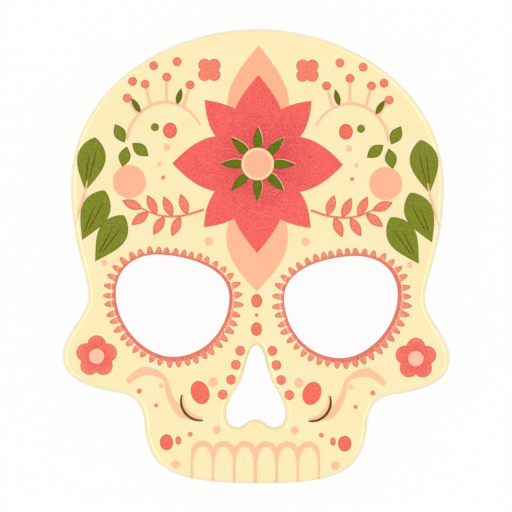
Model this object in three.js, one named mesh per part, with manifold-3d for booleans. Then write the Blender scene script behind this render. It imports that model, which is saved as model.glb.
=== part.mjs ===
// A flat sugar skull, moulded from white chocolate and printed with coloured cocoa butter.
// It lies on its flat back at z = 0, its crown towards +Y and its printed face up.
// Lengths are in millimetres and angles in degrees.
import * as THREE from "three";
import { mergeVertices } from "three/addons/utils/BufferGeometryUtils.js";
import Module from "manifold-3d";

const wasm = await Module();
wasm.setup();

// Moulded plate
const FOREHEAD_HEIGHT = 23.9; // from the top of the eye openings up to the crown
const EYE_HEIGHT = 10.8;
const EYE_WIDTH = 12;
const NOSE_DROP = 7.4; // the nose opening's lower edge, below that of the eyes
const NOSE_RISE = 1.35; // the nose opening's upper edge, above the lower edge of the eyes
const NOSE_WIDTH = 6.3;
const CHIN_HEIGHT = 5.9; // from the nose opening down to the chin
const BRIDGE_WIDTH = 5.8; // between the eye openings
const TEMPLE_MARGIN = 2.9; // outside each eye opening
const CROWN_BULGE = 1.9; // the crown beyond the temples, on each side
const CHEEK_BULGE = 2.65; // the cheek bones beyond the temples, on each side
const JAW_WIDTH = 23.6;
const THICKNESS = 3;
const RIM_RADIUS = 0.5; // rounding of every front edge
const DRAFT = 0.15; // every wall leans by this much, so that the plate leaves its mould

// Printed layer
const FILM = 0.06; // thickness of one coat
const PRINT_GAP = 0.08; // bare plate between two neighbouring colours
const SEAT_GAP = 0.03; // under a coat that wraps round a rim
const CUT_OVERRUN = 0.5; // past a film's faces, on the solids that trim it

// Forehead flower
const PALE_TIP_SHOW = 3.1; // of the pale petal above the flower, past the flower's own tip
const PETAL_CROWN_GAP = 1.8; // from the tip of the pale petal above the flower to the crown
const PETAL_BROW_GAP = 0.3; // from the tip of the pale petal below it to the first brow dot
const PALE_PETAL_WIDTH = 6.5;
const STAR_LEAF_COUNT = 8;
const STAR_TIP_RADIUS = 4;
const STAR_LEAF_WIDTH = 0.82;
const HEART_RING_RADIUS = 1.72;
const HEART_RADIUS = 1.42;

// Forehead ornament
const TEMPLE_LEAF_LENGTH = 5.7;
const TEMPLE_LEAF_WIDTH = 3;
const TEMPLE_LEAF_SHARES = [1.4, 0.72]; // fullness towards its tip, and sharpness of its ends
const PLAIN_LEAF_SHARES = [1, 1];
const LOWER_PETAL_SHARES = [1.25, 1];
const LEAFLET_LENGTH = 2.2;
const LEAFLET_WIDTH = 1.25;
const BERRY_RADIUS = 0.46;
const STEM_WIDTH = 0.32;
const BLOSSOM_REACH = 0.72; // from the blossom's middle to the middle of a lobe
const BLOSSOM_LOBE_RADIUS = 0.66;
const BLOSSOM_LOBE_COUNT = 4;
const BLOSSOM_FIRST_ANGLE = 45;
const MOON_RADIUS = 1.74;
const SUN_WIDTH = 1.46;
const SUN_HEIGHT = 1.66;
const SPRAY_STEM_WIDTH = 0.26;
const SPRAY_LEAF_LENGTH = 2.3;
const SPRAY_LEAF_WIDTH = 1;

// Eye rings
const EYE_PETAL_COUNT = 42;
const EYE_PETAL_LENGTH = 0.56; // from the notch between two petals to a petal's tip
const EYE_BAND_WIDTH = 0.07; // flat band between the rounded rim and the notches

// Cheeks
const CHEEK_LOBE_COUNT = 5;
const CHEEK_LOBE_RADIUS = 0.98;
const CHEEK_LOBE_REACH = 1.22; // from the flower's middle to the middle of a lobe
const CHEEK_HEART_RADIUS = 0.82;
const SCROLL_WIDTH = 0.95;
const CRESCENT_RADIUS = 2.05;
const CRESCENT_WIDTH = 0.24;
const CHEEK_DROP_LENGTH = 2.5;
const CHEEK_DROP_WIDTH = 1.9;

// Bridge, nose and jaw
const NOSE_DOT_RADIUS = 0.52;
const NOSE_DOT_DISTANCE = 1.02; // from the nose opening's edge to a dot's middle
const BROW_DOT_WIDTH = 1.16;
const BROW_DOT_HEIGHT = 1.42;
const JAW_DOT_WIDTH = 1.4;
const JAW_DOT_HEIGHT = 1.66;
const TOOTH_COUNT = 6;
const TOOTH_PITCH = 2.23;
const TOOTH_LINE_WIDTH = 0.3;
const TOOTH_ARCH_WIDTH = 0.44;
const TOOTH_TOP_DROP = 1.55; // from the nose opening's lower edge to the middle of an arch

// Directions on the face, turned from its right-hand side
const UP = 90;
const DOWN = -90;

// How finely curves are stepped
const CROWN_STEPS = 24;
const SIDE_STEPS = 10;
const CORNER_STEPS = 8;
const EYE_STEPS = 12;
const NOSE_STEPS = 6;
const RIM_STEPS = 3;
const DOT_STEPS = 16;
const LEAF_STEPS = 8;
const FLANK_STEPS = 5;
const ARCH_STEPS = 6;
const RIBBON_STEPS = 12;

// Widths and levels that follow from the plate's sizes
const templeHalf = BRIDGE_WIDTH / 2 + EYE_WIDTH + TEMPLE_MARGIN;
const crownHalf = templeHalf + CROWN_BULGE;
const cheekHalf = templeHalf + CHEEK_BULGE;
const jawHalf = JAW_WIDTH / 2;
const crownLevel = (FOREHEAD_HEIGHT + EYE_HEIGHT + NOSE_DROP + CHIN_HEIGHT) / 2;
const eyeTopLevel = crownLevel - FOREHEAD_HEIGHT;
const eyeLowLevel = eyeTopLevel - EYE_HEIGHT;
const noseTopLevel = eyeLowLevel + NOSE_RISE;
const noseLowLevel = eyeLowLevel - NOSE_DROP;
const chinLevel = noseLowLevel - CHIN_HEIGHT;

// Print places, as shares of the part of the face that they follow
const onForehead = (across, up) => {
  return new THREE.Vector2(across * crownHalf, eyeTopLevel + up * FOREHEAD_HEIGHT);
};
const onCheek = (across, down) => {
  return new THREE.Vector2(across * cheekHalf, eyeLowLevel - down * NOSE_DROP);
};
const onChin = (across, down) => {
  return new THREE.Vector2(across * jawHalf, noseLowLevel - down * CHIN_HEIGHT);
};

const HEART_PLACE_SHARES = [0, 0.402];
const BROW_LEVEL_SHARES = [0.445, 0.72]; // of the two dots on the bridge, down the eyes
const heartPlace = onForehead(...HEART_PLACE_SHARES);
const browTopLevel = eyeTopLevel - BROW_LEVEL_SHARES[0] * EYE_HEIGHT + BROW_DOT_HEIGHT / 2;
const upperPetalReach = crownLevel - PETAL_CROWN_GAP - heartPlace.y;
const flowerTipRadius = upperPetalReach - PALE_TIP_SHOW; // of the upright petals
const lowerPetalReach = heartPlace.y - browTopLevel - PETAL_BROW_GAP;

const point = (x, y) => new THREE.Vector2(x, y);
const mix = THREE.MathUtils.lerp;
const radians = THREE.MathUtils.degToRad;

// Smooth curves in a row, from points in which two handles stand between a corner and the next.
function curvesThrough(points) {
  return Array.from({ length: (points.length - 1) / 3 }, (_, i) => {
    return new THREE.CubicBezierCurve(...points.slice(3 * i, 3 * i + 4));
  });
}

// The points of several curves in a row, each without its last point, which the next curve starts with.
function along(curves, steps) {
  return curves.flatMap((curve, i) => curve.getPoints(steps[i]).slice(0, -1));
}

// A closed loop from its right half, which starts and ends on the middle line.
function mirrored(half) {
  const left = half.slice(1, -1).map((p) => point(-p.x, p.y));
  return counterClockwise([...half, ...left.reverse()]);
}

function counterClockwise(loop) {
  return THREE.ShapeUtils.isClockWise(loop) ? loop.slice().reverse() : loop;
}

// The loop on the other side of the middle line, or the same one.
function onSide(loop, side) {
  return counterClockwise(loop.map((p) => point(side * p.x, p.y)));
}

// A loop at equal steps of its own length.
function evenly(loop, count) {
  const closed = [...loop, loop[0]];
  const lengths = [0];
  closed.slice(1).forEach((p, i) => lengths.push(lengths[i] + p.distanceTo(closed[i])));
  const total = lengths.at(-1);
  let segment = 0;
  return Array.from({ length: count }, (_, i) => {
    const wanted = (total * i) / count;
    while (lengths[segment + 1] < wanted) segment += 1;
    const share = (wanted - lengths[segment]) / (lengths[segment + 1] - lengths[segment]);
    return closed[segment].clone().lerp(closed[segment + 1], share);
  });
}

// The outward direction at each point of a counter-clockwise loop.
function outwardOf(loop) {
  return loop.map((p, i) => {
    const before = loop.at(i - 1);
    const after = loop[(i + 1) % loop.length];
    const run = after.clone().sub(before).normalize();
    return point(run.y, -run.x);
  });
}

// A loop moved outwards by a distance, or inwards by a negative one.
function grown(loop, distance) {
  const outward = outwardOf(loop);
  return loop.map((p, i) => p.clone().addScaledVector(outward[i], distance));
}

// Outline of the skull, from the crown down its right side to the chin
const CROWN_LEVEL_SHARE = 0.305; // widest level of the crown, up the forehead
const TEMPLE_LEVEL_SHARE = 0.41; // narrowest level of the temples, down the eyes
const HOLLOW_SHARES = [0.34, 0.51]; // under the cheek bone, from the jaw outwards and down
const HOLLOW_SLOPE_SHARE = 0.14; // its fall for each step outwards
const JAW_LEVEL_SHARE = 0.88; // where the hollow runs out into the jaw

// Handles of the outline's curves, in shares of the stretches that they span
const CROWN_HANDLE_SHARES = { leave: 0.48, arrive: 0.63 };
const UPPER_TEMPLE_HANDLE_SHARES = { leave: 0.55, arrive: 0.22 };
const LOWER_TEMPLE_HANDLE_SHARES = { leave: 0.34, arrive: 0.38 };
const CHEEK_HANDLE_SHARES = { leave: 0.54, arrive: 0.44 };
const HOLLOW_HANDLE_SHARES = { leave: -0.3, arrive: [0.04, 0.36] };
const JAW_HANDLE_SHARES = { leave: [0.98, 0.82], arrive: 0.76 };

function skullHalf() {
  const crownSide = eyeTopLevel + CROWN_LEVEL_SHARE * FOREHEAD_HEIGHT;
  const crownRise = crownLevel - crownSide;
  const temple = eyeTopLevel - TEMPLE_LEVEL_SHARE * EYE_HEIGHT;
  const templeRise = crownSide - temple;
  const cheekRise = temple - eyeLowLevel;
  const cheekRun = cheekHalf - jawHalf;
  const hollow = point(jawHalf + HOLLOW_SHARES[0] * cheekRun, eyeLowLevel - HOLLOW_SHARES[1] * NOSE_DROP);
  const cheekDrop = eyeLowLevel - hollow.y;
  const hollowHandle = (share) => {
    return point(hollow.x + share * cheekRun, hollow.y + HOLLOW_SLOPE_SHARE * share * cheekRun);
  };
  const jaw = point(jawHalf, eyeLowLevel - JAW_LEVEL_SHARE * NOSE_DROP);
  const hollowDrop = hollow.y - jaw.y;
  const jawDrop = jaw.y - chinLevel;
  const [hollowRunShare, hollowDropShare] = HOLLOW_HANDLE_SHARES.arrive;
  const [jawWidthShare, jawDropShare] = JAW_HANDLE_SHARES.leave;
  const curves = curvesThrough([
    point(0, crownLevel),
    point(CROWN_HANDLE_SHARES.leave * crownHalf, crownLevel),
    point(crownHalf, crownSide + CROWN_HANDLE_SHARES.arrive * crownRise),
    point(crownHalf, crownSide),
    point(crownHalf, crownSide - UPPER_TEMPLE_HANDLE_SHARES.leave * templeRise),
    point(templeHalf, temple + UPPER_TEMPLE_HANDLE_SHARES.arrive * templeRise),
    point(templeHalf, temple),
    point(templeHalf, temple - LOWER_TEMPLE_HANDLE_SHARES.leave * cheekRise),
    point(cheekHalf, eyeLowLevel + LOWER_TEMPLE_HANDLE_SHARES.arrive * cheekRise),
    point(cheekHalf, eyeLowLevel),
    point(cheekHalf, eyeLowLevel - CHEEK_HANDLE_SHARES.leave * cheekDrop),
    hollowHandle(CHEEK_HANDLE_SHARES.arrive),
    hollow,
    hollowHandle(HOLLOW_HANDLE_SHARES.leave),
    point(jaw.x + hollowRunShare * cheekRun, jaw.y + hollowDropShare * hollowDrop),
    jaw,
    point(jawWidthShare * jawHalf, jaw.y - jawDropShare * jawDrop),
    point(JAW_HANDLE_SHARES.arrive * jawHalf, chinLevel),
    point(0, chinLevel),
  ]);
  const steps = [CROWN_STEPS, SIDE_STEPS, SIDE_STEPS, CORNER_STEPS, CORNER_STEPS, CROWN_STEPS];
  return [...along(curves, steps), point(0, chinLevel)];
}

// Eye opening, in shares of its half width and half height: a corner and two handles on each line
const EYE_OUTLINE_SHARES = [
  [0.26, 1], [0.72, 1], [1, 0.68],
  [1, 0.24], [1, -0.42], [0.46, -1],
  [0, -1], [-0.6, -1], [-1, -0.42],
  [-1, 0.17], [-1, 0.86], [-0.02, 1],
];

function eyeLoop(side) {
  const middle = point(BRIDGE_WIDTH / 2 + EYE_WIDTH / 2, (eyeTopLevel + eyeLowLevel) / 2);
  const places = EYE_OUTLINE_SHARES.map(([across, up]) => {
    return point(middle.x + (across * EYE_WIDTH) / 2, middle.y + (up * EYE_HEIGHT) / 2);
  });
  const curves = curvesThrough([...places, places[0]]);
  return onSide(along(curves, curves.map(() => EYE_STEPS)), side);
}

// Right half of the nose opening, a pear with a raised middle at its foot, in shares of its half
// width and its height: a corner and two handles on each line
const NOSE_OUTLINE_SHARES = [
  [0, 1], [0.3, 1], [0.3, 0.72],
  [0.56, 0.54], [0.76, 0.41], [1, 0.3],
  [1, 0.165], [1, 0.07], [0.85, 0],
  [0.62, 0], [0.37, 0], [0.3, 0.095],
  [0, 0.095],
];

function noseLoop() {
  const places = NOSE_OUTLINE_SHARES.map(([across, up]) => {
    return point((across * NOSE_WIDTH) / 2, mix(noseLowLevel, noseTopLevel, up));
  });
  const curves = curvesThrough(places);
  return mirrored([...along(curves, curves.map(() => NOSE_STEPS)), places.at(-1)]);
}

const skullLoop = mirrored(skullHalf());
const openingLoops = [eyeLoop(-1), eyeLoop(1), noseLoop()];

// Steps over the rounded rim, from the wall up to the face: how far in from the loop, and how high
const rimSteps = Array.from({ length: RIM_STEPS + 1 }, (_, i) => {
  const turn = (Math.PI / 2) * (i / RIM_STEPS);
  return {
    inset: DRAFT + RIM_RADIUS * (1 - Math.cos(turn)),
    height: THICKNESS - RIM_RADIUS * (1 - Math.sin(turn)),
    turn,
  };
});
const edgeSteps = [{ inset: 0, height: 0 }, ...rimSteps];
const faceInset = DRAFT + RIM_RADIUS;

// A geometry from points and triangles, with its normals.
function geometryFrom(points, triangles) {
  const geometry = new THREE.BufferGeometry();
  geometry.setAttribute("position", new THREE.Float32BufferAttribute(points.flat(), 3));
  geometry.setIndex(triangles.flat());
  geometry.computeVertexNormals();
  return geometry;
}

// The plate: a back, a face and the walls between them, round the outline and the openings.
function plateGeometry() {
  const points = [];
  const triangles = [];
  const backLoops = [];
  const faceLoops = [];
  const borders = [
    { loop: skullLoop, inwards: -1 },
    ...openingLoops.map((loop) => ({ loop, inwards: 1 })),
  ];
  for (const { loop, inwards } of borders) {
    const rings = edgeSteps.map(({ inset, height }) => {
      const start = points.length;
      grown(loop, inwards * inset).forEach((p) => points.push([p.x, p.y, height]));
      return start;
    });
    const count = loop.length;
    for (let ring = 1; ring < rings.length; ring += 1) {
      for (let i = 0; i < count; i += 1) {
        const next = (i + 1) % count;
        const low = [rings[ring - 1] + i, rings[ring - 1] + next];
        const high = [rings[ring] + i, rings[ring] + next];
        const quad = [[low[0], low[1], high[1]], [low[0], high[1], high[0]]];
        triangles.push(...(inwards < 0 ? quad : quad.map((t) => t.slice().reverse())));
      }
    }
    const indices = (start) => Array.from({ length: count }, (_, i) => start + i);
    backLoops.push(indices(rings[0]));
    faceLoops.push(indices(rings.at(-1)));
  }
  const cap = (loops, facesUp) => {
    const [rim, ...holes] = loops.map((loop) => loop.map((i) => point(points[i][0], points[i][1])));
    const order = loops.flat();
    THREE.ShapeUtils.triangulateShape(rim, holes).forEach((triangle) => {
      const corners = triangle.map((i) => order[i]);
      const [a, b, c] = triangle.map((i) => [rim, ...holes].flat()[i]);
      const turnsLeft = b.clone().sub(a).cross(c.clone().sub(a)) > 0;
      triangles.push(turnsLeft === facesUp ? corners : corners.reverse());
    });
  };
  cap(backLoops, false);
  cap(faceLoops, true);
  return geometryFrom(points, triangles);
}

// Printed films

// A solid standing on a height, whose section is one loop.
function prism(loop, bottom, height) {
  const shape = new THREE.Shape(counterClockwise(loop));
  const geometry = new THREE.ExtrudeGeometry(shape, { depth: height, bevelEnabled: false });
  geometry.translate(0, 0, bottom);
  geometry.deleteAttribute("normal");
  geometry.deleteAttribute("uv");
  const merged = mergeVertices(geometry);
  return new wasm.Manifold(
    new wasm.Mesh({
      numProp: 3,
      vertProperties: merged.attributes.position.array,
      triVerts: new Uint32Array(merged.index.array),
    }),
  );
}

// One solid from all the loops of a film, each grown by a margin.
function filmSolid(loops, margin, bottom, height) {
  const solids = loops.map((loop) => prism(margin ? grown(loop, margin) : loop, bottom, height));
  return wasm.Manifold.union(solids);
}

function geometryOf(solid) {
  const mesh = solid.getMesh();
  const geometry = new THREE.BufferGeometry();
  const position = new Float32Array(mesh.numVert * 3);
  for (let i = 0; i < mesh.numVert; i += 1) {
    position.set(mesh.vertProperties.subarray(i * mesh.numProp, i * mesh.numProp + 3), i * 3);
  }
  geometry.setAttribute("position", new THREE.BufferAttribute(position, 3));
  geometry.setIndex(new THREE.BufferAttribute(mesh.triVerts, 1));
  geometry.computeVertexNormals();
  return geometry;
}

// An ellipse round a place.
function dot(place, width, height, turn = 0) {
  return Array.from({ length: DOT_STEPS }, (_, i) => {
    const angle = (2 * Math.PI * i) / DOT_STEPS;
    const p = point((width / 2) * Math.cos(angle), (height / 2) * Math.sin(angle));
    return p.rotateAround(point(0, 0), radians(turn)).add(place);
  });
}

// A leaf from its foot. A fullness over 1 puts its widest part nearer its tip,
// and a sharpness under 1 rounds its ends.
function leaf(foot, direction, length, width, [fullness, sharpness] = PLAIN_LEAF_SHARES) {
  const edge = (side) => Array.from({ length: LEAF_STEPS }, (_, i) => {
    const share = (1 - Math.cos((Math.PI * i) / LEAF_STEPS)) / 2;
    const swell = Math.sin(Math.PI * share ** fullness) ** sharpness;
    return point(share * length, (side * swell * width) / 2);
  });
  const tip = point(length, 0);
  const back = edge(1).slice(1).reverse();
  const loop = [...edge(-1), tip, ...back];
  return loop.map((p) => p.rotateAround(point(0, 0), radians(direction)).add(foot));
}

// A strip along a smooth line through places, its width given at equal steps of the line.
function ribbon(places, widths, steps = RIBBON_STEPS) {
  const line = new THREE.SplineCurve(places);
  const stations = Array.from({ length: steps + 1 }, (_, i) => i / steps);
  const edge = (side) => stations.map((share) => {
    const run = line.getTangent(share);
    const station = share * (widths.length - 1);
    const step = Math.min(Math.floor(station), widths.length - 2);
    const half = mix(widths[step], widths[step + 1], station - step) / 2;
    return line.getPoint(share).add(point(-run.y, run.x).multiplyScalar(side * half));
  });
  return counterClockwise([...edge(-1), ...edge(1).reverse()]);
}

// Round lobes round a middle, with a disc that joins them.
function lobedLoops(place, lobes, reach, lobeRadius, firstAngle) {
  const ring = Array.from({ length: lobes }, (_, i) => {
    const angle = radians(firstAngle + (360 * i) / lobes);
    const middle = point(reach * Math.cos(angle), reach * Math.sin(angle)).add(place);
    return dot(middle, 2 * lobeRadius, 2 * lobeRadius);
  });
  return [dot(place, 2 * reach, 2 * reach), ...ring];
}

// The large flower, a quarter of it from its level petal to its upright one: the direction of each
// tip and notch, and its reach as a share of the upright tip's
const FLOWER_CORNER_SHARES = [
  { angle: 0, reach: 0.955 },
  { angle: 33, reach: 0.565 },
  { angle: 50, reach: 0.93 },
  { angle: 67.5, reach: 0.67 },
  { angle: UP, reach: 1 },
];
// Where each flank between them bulges: its turn from tip to notch, and its reach from notch to tip
const FLANK_SHARES = [
  { turn: 0.64, reach: 0.5 },
  { turn: 0.76, reach: 0.45 },
  { turn: 0.52, reach: 0.52 },
  { turn: 0.7, reach: 0.34 },
];

function flowerLoop() {
  const at = (angle, reachShare) => {
    return point(reachShare * flowerTipRadius, 0).rotateAround(point(0, 0), radians(angle));
  };
  const flanks = FLANK_SHARES.map(({ turn, reach }, i) => {
    const ends = FLOWER_CORNER_SHARES.slice(i, i + 2);
    const [tip, notch] = i % 2 === 0 ? ends : ends.toReversed();
    const bulge = at(mix(tip.angle, notch.angle, turn), mix(notch.reach, tip.reach, reach));
    const [from, to] = ends.map((corner) => at(corner.angle, corner.reach));
    return new THREE.QuadraticBezierCurve(from, bulge, to);
  });
  const quarter = [...along(flanks, flanks.map(() => FLANK_STEPS)), at(UP, 1)];
  const upper = [...quarter, ...quarter.slice(0, -1).map((p) => point(-p.x, p.y)).reverse()];
  const lower = upper.slice(1, -1).map((p) => point(p.x, -p.y)).reverse();
  return [...upper, ...lower].map((p) => p.add(heartPlace));
}

function starLoops() {
  const pitch = 360 / STAR_LEAF_COUNT;
  const leaves = Array.from({ length: STAR_LEAF_COUNT }, (_, i) => {
    return leaf(heartPlace, i * pitch, STAR_TIP_RADIUS, STAR_LEAF_WIDTH);
  });
  return [dot(heartPlace, 2 * HEART_RING_RADIUS, 2 * HEART_RING_RADIUS), ...leaves];
}

// Places down the right side of the face, each with its direction where it has one
const TEMPLE_LEAVES = [
  { name: "upper", shares: [0.92, 0.278], direction: 100 },
  { name: "middle", shares: [0.935, 0.062], direction: 114 },
  { name: "lower", shares: [0.865, -0.032], direction: 122 },
];
const VINE_SHARES = [[0.305, 0.572], [0.38, 0.64], [0.49, 0.672], [0.6, 0.645], [0.675, 0.575], [0.7, 0.505]];
const STALKS = [
  { from: [0.4, 0.65], to: [0.365, 0.748] },
  { from: [0.49, 0.672], to: [0.49, 0.782] },
  { from: [0.575, 0.655], to: [0.605, 0.75] },
  { from: [0.64, 0.615], to: [0.7, 0.688] },
];
const LEAFLETS = [
  { shares: [0.712, 0.492], direction: 62 },
  { shares: [0.7, 0.475], direction: -78 },
];
const BLOSSOM_SHARES = [0.262, 0.815];
const SUN_SHARES = [0.47, 0.547];
const MOON_SHARES = [0.685, 0.32];
const SPRAY_SHARES = [[0.285, 0.2], [0.4, 0.172], [0.52, 0.172], [0.625, 0.205]];
const SPRAY_LEAVES = [
  { share: 0.26, direction: 72 },
  { share: 0.36, direction: -68 },
  { share: 0.48, direction: 66 },
  { share: 0.6, direction: -60 },
  { share: 0.72, direction: 64 },
  { share: 0.84, direction: -38 },
  { share: 0.95, direction: 22 },
];
const CHEEK_FLOWER_SHARES = [0.822, -0.005];
const SCROLL_SHARES = [[0.665, 0.36], [0.575, 0.2], [0.475, 0.3], [0.44, 0.58], [0.38, 0.8], [0.29, 0.87]];
const SCROLL_WIDTH_SHARES = [0.5, 1, 0.45, 0.65, 1, 0.2];
const CRESCENT_SHARES = [0.285, 0.62];
const CRESCENT_ANGLES = [18, -22, -62, -98];
const CHEEK_DROP_SHARES = [0.288, 0.5];
const CHEEK_DROP_TURN = -22;
const NOSE_DOT_LEVEL_SHARES = [0.93, 0.76, 0.58, 0.4];
const JAW_DOT_SHARES = [0.795, 0.265];

function blossomLoops() {
  const middle = onForehead(...BLOSSOM_SHARES);
  return lobedLoops(middle, BLOSSOM_LOBE_COUNT, BLOSSOM_REACH, BLOSSOM_LOBE_RADIUS, BLOSSOM_FIRST_ANGLE);
}

function vineLoops() {
  const places = VINE_SHARES.map((shares) => onForehead(...shares));
  const stem = ribbon(places, [STEM_WIDTH, STEM_WIDTH]);
  const stalks = STALKS.map(({ from, to }) => {
    return ribbon([onForehead(...from), onForehead(...to)], [STEM_WIDTH, STEM_WIDTH], 1);
  });
  return [stem, ...stalks];
}

function sprayLoops() {
  const line = new THREE.SplineCurve(SPRAY_SHARES.map((shares) => onForehead(...shares)));
  const stem = ribbon(line.points, [SPRAY_STEM_WIDTH, SPRAY_STEM_WIDTH]);
  const leaves = SPRAY_LEAVES.map(({ share, direction }) => {
    return leaf(line.getPoint(share), direction, SPRAY_LEAF_LENGTH, SPRAY_LEAF_WIDTH);
  });
  return [stem, ...leaves];
}

function scrollLoop() {
  const places = SCROLL_SHARES.map((shares) => onCheek(...shares));
  return ribbon(places, SCROLL_WIDTH_SHARES.map((share) => share * SCROLL_WIDTH));
}

function crescentLoop() {
  const middle = onCheek(...CRESCENT_SHARES);
  const places = CRESCENT_ANGLES.map((angle) => {
    const turn = radians(angle);
    return point(Math.cos(turn), Math.sin(turn)).multiplyScalar(CRESCENT_RADIUS).add(middle);
  });
  return ribbon(places, [CRESCENT_WIDTH / 2, CRESCENT_WIDTH, CRESCENT_WIDTH / 2]);
}

// Where the nose opening's right edge is at a level over its widest one.
function noseEdgeAt(level) {
  const right = openingLoops[2].filter((p) => p.x >= 0);
  const widest = right.reduce((a, b) => (b.x > a.x ? b : a));
  const flank = right.filter((p) => p.y >= widest.y);
  const above = flank.filter((p) => p.y >= level).sort((a, b) => a.y - b.y)[0];
  const below = flank.filter((p) => p.y < level).sort((a, b) => b.y - a.y)[0];
  const share = (level - below.y) / (above.y - below.y);
  return mix(below.x, above.x, share);
}

function noseDotLoop(levelShare) {
  const level = mix(noseLowLevel, noseTopLevel, levelShare);
  const place = point(noseEdgeAt(level) + NOSE_DOT_DISTANCE, level);
  return dot(place, 2 * NOSE_DOT_RADIUS, 2 * NOSE_DOT_RADIUS);
}

// Tooth lines with an arch over each tooth, down to the edge of the flat face.
function toothLoops() {
  const archRadius = TOOTH_PITCH / 2;
  const springLevel = noseLowLevel - TOOTH_TOP_DROP - archRadius;
  const first = (-TOOTH_COUNT / 2) * TOOTH_PITCH;
  const lines = Array.from({ length: TOOTH_COUNT + 1 }, (_, i) => {
    const x = first + i * TOOTH_PITCH;
    return ribbon([point(x, springLevel), point(x, chinLevel)], [TOOTH_LINE_WIDTH, TOOTH_LINE_WIDTH], 1);
  });
  const arches = Array.from({ length: TOOTH_COUNT }, (_, i) => {
    const middle = point(first + (i + 0.5) * TOOTH_PITCH, springLevel);
    const places = Array.from({ length: ARCH_STEPS + 1 }, (_, step) => {
      const angle = (Math.PI * step) / ARCH_STEPS;
      return point(archRadius * Math.cos(angle), archRadius * Math.sin(angle)).add(middle);
    });
    return ribbon(places, [TOOTH_LINE_WIDTH, TOOTH_ARCH_WIDTH, TOOTH_LINE_WIDTH], ARCH_STEPS);
  });
  return [...lines, ...arches];
}

// The ring of petals round an eye opening, which wraps over the opening's rounded rim.
function eyeRingGeometry(side) {
  const loop = evenly(eyeLoop(side), 2 * EYE_PETAL_COUNT);
  const outward = outwardOf(loop);
  const points = [];
  loop.forEach((p, i) => {
    const reach = faceInset + EYE_BAND_WIDTH + (i % 2) * EYE_PETAL_LENGTH;
    const steps = [...rimSteps, { inset: reach, height: THICKNESS, turn: Math.PI / 2 }];
    const lifted = ({ inset, height, turn }, lift) => {
      const at = p.clone().addScaledVector(outward[i], inset - lift * Math.cos(turn));
      return [at.x, at.y, height + lift * Math.sin(turn)];
    };
    points.push(...steps.map((step) => lifted(step, SEAT_GAP)));
    points.push(...steps.toReversed().map((step) => lifted(step, SEAT_GAP + FILM)));
  });
  const around = points.length / loop.length;
  const triangles = [];
  for (let i = 0; i < loop.length; i += 1) {
    for (let k = 0; k < around; k += 1) {
      const next = (k + 1) % around;
      const here = i * around;
      const there = ((i + 1) % loop.length) * around;
      triangles.push([here + k, there + k, there + next], [here + k, there + next, here + next]);
    }
  }
  return geometryFrom(points, triangles);
}

// Finishes
const finish = (color, roughness) => new THREE.MeshStandardMaterial({ color, roughness, metalness: 0 });
const whiteChocolate = finish("#feedbc", 0.42);
const coralRed = finish("#f4645f", 0.5);
const coral = finish("#f58466", 0.5);
const salmon = finish("#ee7765", 0.5);
const peach = finish("#fdba94", 0.5);
const palePeach = finish("#fbca9d", 0.5);
const cream = finish("#fbd9a8", 0.5);
const olive = finish("#818634", 0.5);
const leafGreen = finish("#69701e", 0.5);
const umber = finish("#5b4a12", 0.5);

// The films, from the ones that are printed first, which all the later ones leave room for
function central(name, loops, material, coat = 0) {
  return [{ name, loops, material, coat }];
}

function pair(name, loops, material, coat = 0) {
  return [-1, 1].map((side) => ({
    name: (side < 0 ? "left_" : "right_") + name,
    loops: loops.map((loop) => onSide(loop, side)),
    material,
    coat,
  }));
}

function round(place, diameter) {
  return dot(place, diameter, diameter);
}

function flowerFilms() {
  const above = leaf(heartPlace, UP, upperPetalReach, PALE_PETAL_WIDTH);
  const below = leaf(heartPlace, DOWN, lowerPetalReach, PALE_PETAL_WIDTH, LOWER_PETAL_SHARES);
  return [
    ...central("forehead_flower", [flowerLoop()], coralRed),
    ...central("flower_star_leaves", starLoops(), leafGreen, 1),
    ...central("flower_heart_ring", [round(heartPlace, 2 * HEART_RING_RADIUS)], cream, 2),
    ...central("flower_heart", [round(heartPlace, 2 * HEART_RADIUS)], peach, 3),
    ...central("upper_pale_petal", [above], peach),
    ...central("lower_pale_petal", [below], peach),
  ];
}

function foliageFilms() {
  const templeLeaves = TEMPLE_LEAVES.flatMap(({ name, shares, direction }) => {
    const foot = onForehead(...shares);
    const loop = leaf(foot, direction, TEMPLE_LEAF_LENGTH, TEMPLE_LEAF_WIDTH, TEMPLE_LEAF_SHARES);
    return pair("temple_leaf_" + name, [loop], olive);
  });
  const leaflets = LEAFLETS.flatMap(({ shares, direction }, i) => {
    const loop = leaf(onForehead(...shares), direction, LEAFLET_LENGTH, LEAFLET_WIDTH);
    return pair("leaflet_" + (i + 1), [loop], olive);
  });
  const berries = STALKS.flatMap(({ to }, i) => {
    return pair("stalk_berry_" + (i + 1), [round(onForehead(...to), 2 * BERRY_RADIUS)], coral);
  });
  return [
    ...templeLeaves,
    ...leaflets,
    ...berries,
    ...pair("berry_vine", vineLoops(), palePeach),
    ...pair("blossom", blossomLoops(), coral),
    ...pair("sun_dot", [dot(onForehead(...SUN_SHARES), SUN_WIDTH, SUN_HEIGHT)], coralRed),
    ...pair("moon_dot", [round(onForehead(...MOON_SHARES), 2 * MOON_RADIUS)], peach),
    ...pair("leaf_spray", sprayLoops(), coral),
  ];
}

function cheekFilms() {
  const flower = onCheek(...CHEEK_FLOWER_SHARES);
  const lobes = lobedLoops(flower, CHEEK_LOBE_COUNT, CHEEK_LOBE_REACH, CHEEK_LOBE_RADIUS, UP);
  const drop = onCheek(...CHEEK_DROP_SHARES);
  return [
    ...pair("cheek_flower", lobes, coralRed),
    ...pair("cheek_flower_heart", [round(flower, 2 * CHEEK_HEART_RADIUS)], peach, 1),
    ...pair("cheek_drop", [dot(drop, CHEEK_DROP_WIDTH, CHEEK_DROP_LENGTH, CHEEK_DROP_TURN)], coralRed),
    ...pair("cheek_crescent", [crescentLoop()], umber),
    ...pair("cheek_scroll", [scrollLoop()], palePeach),
  ];
}

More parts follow.
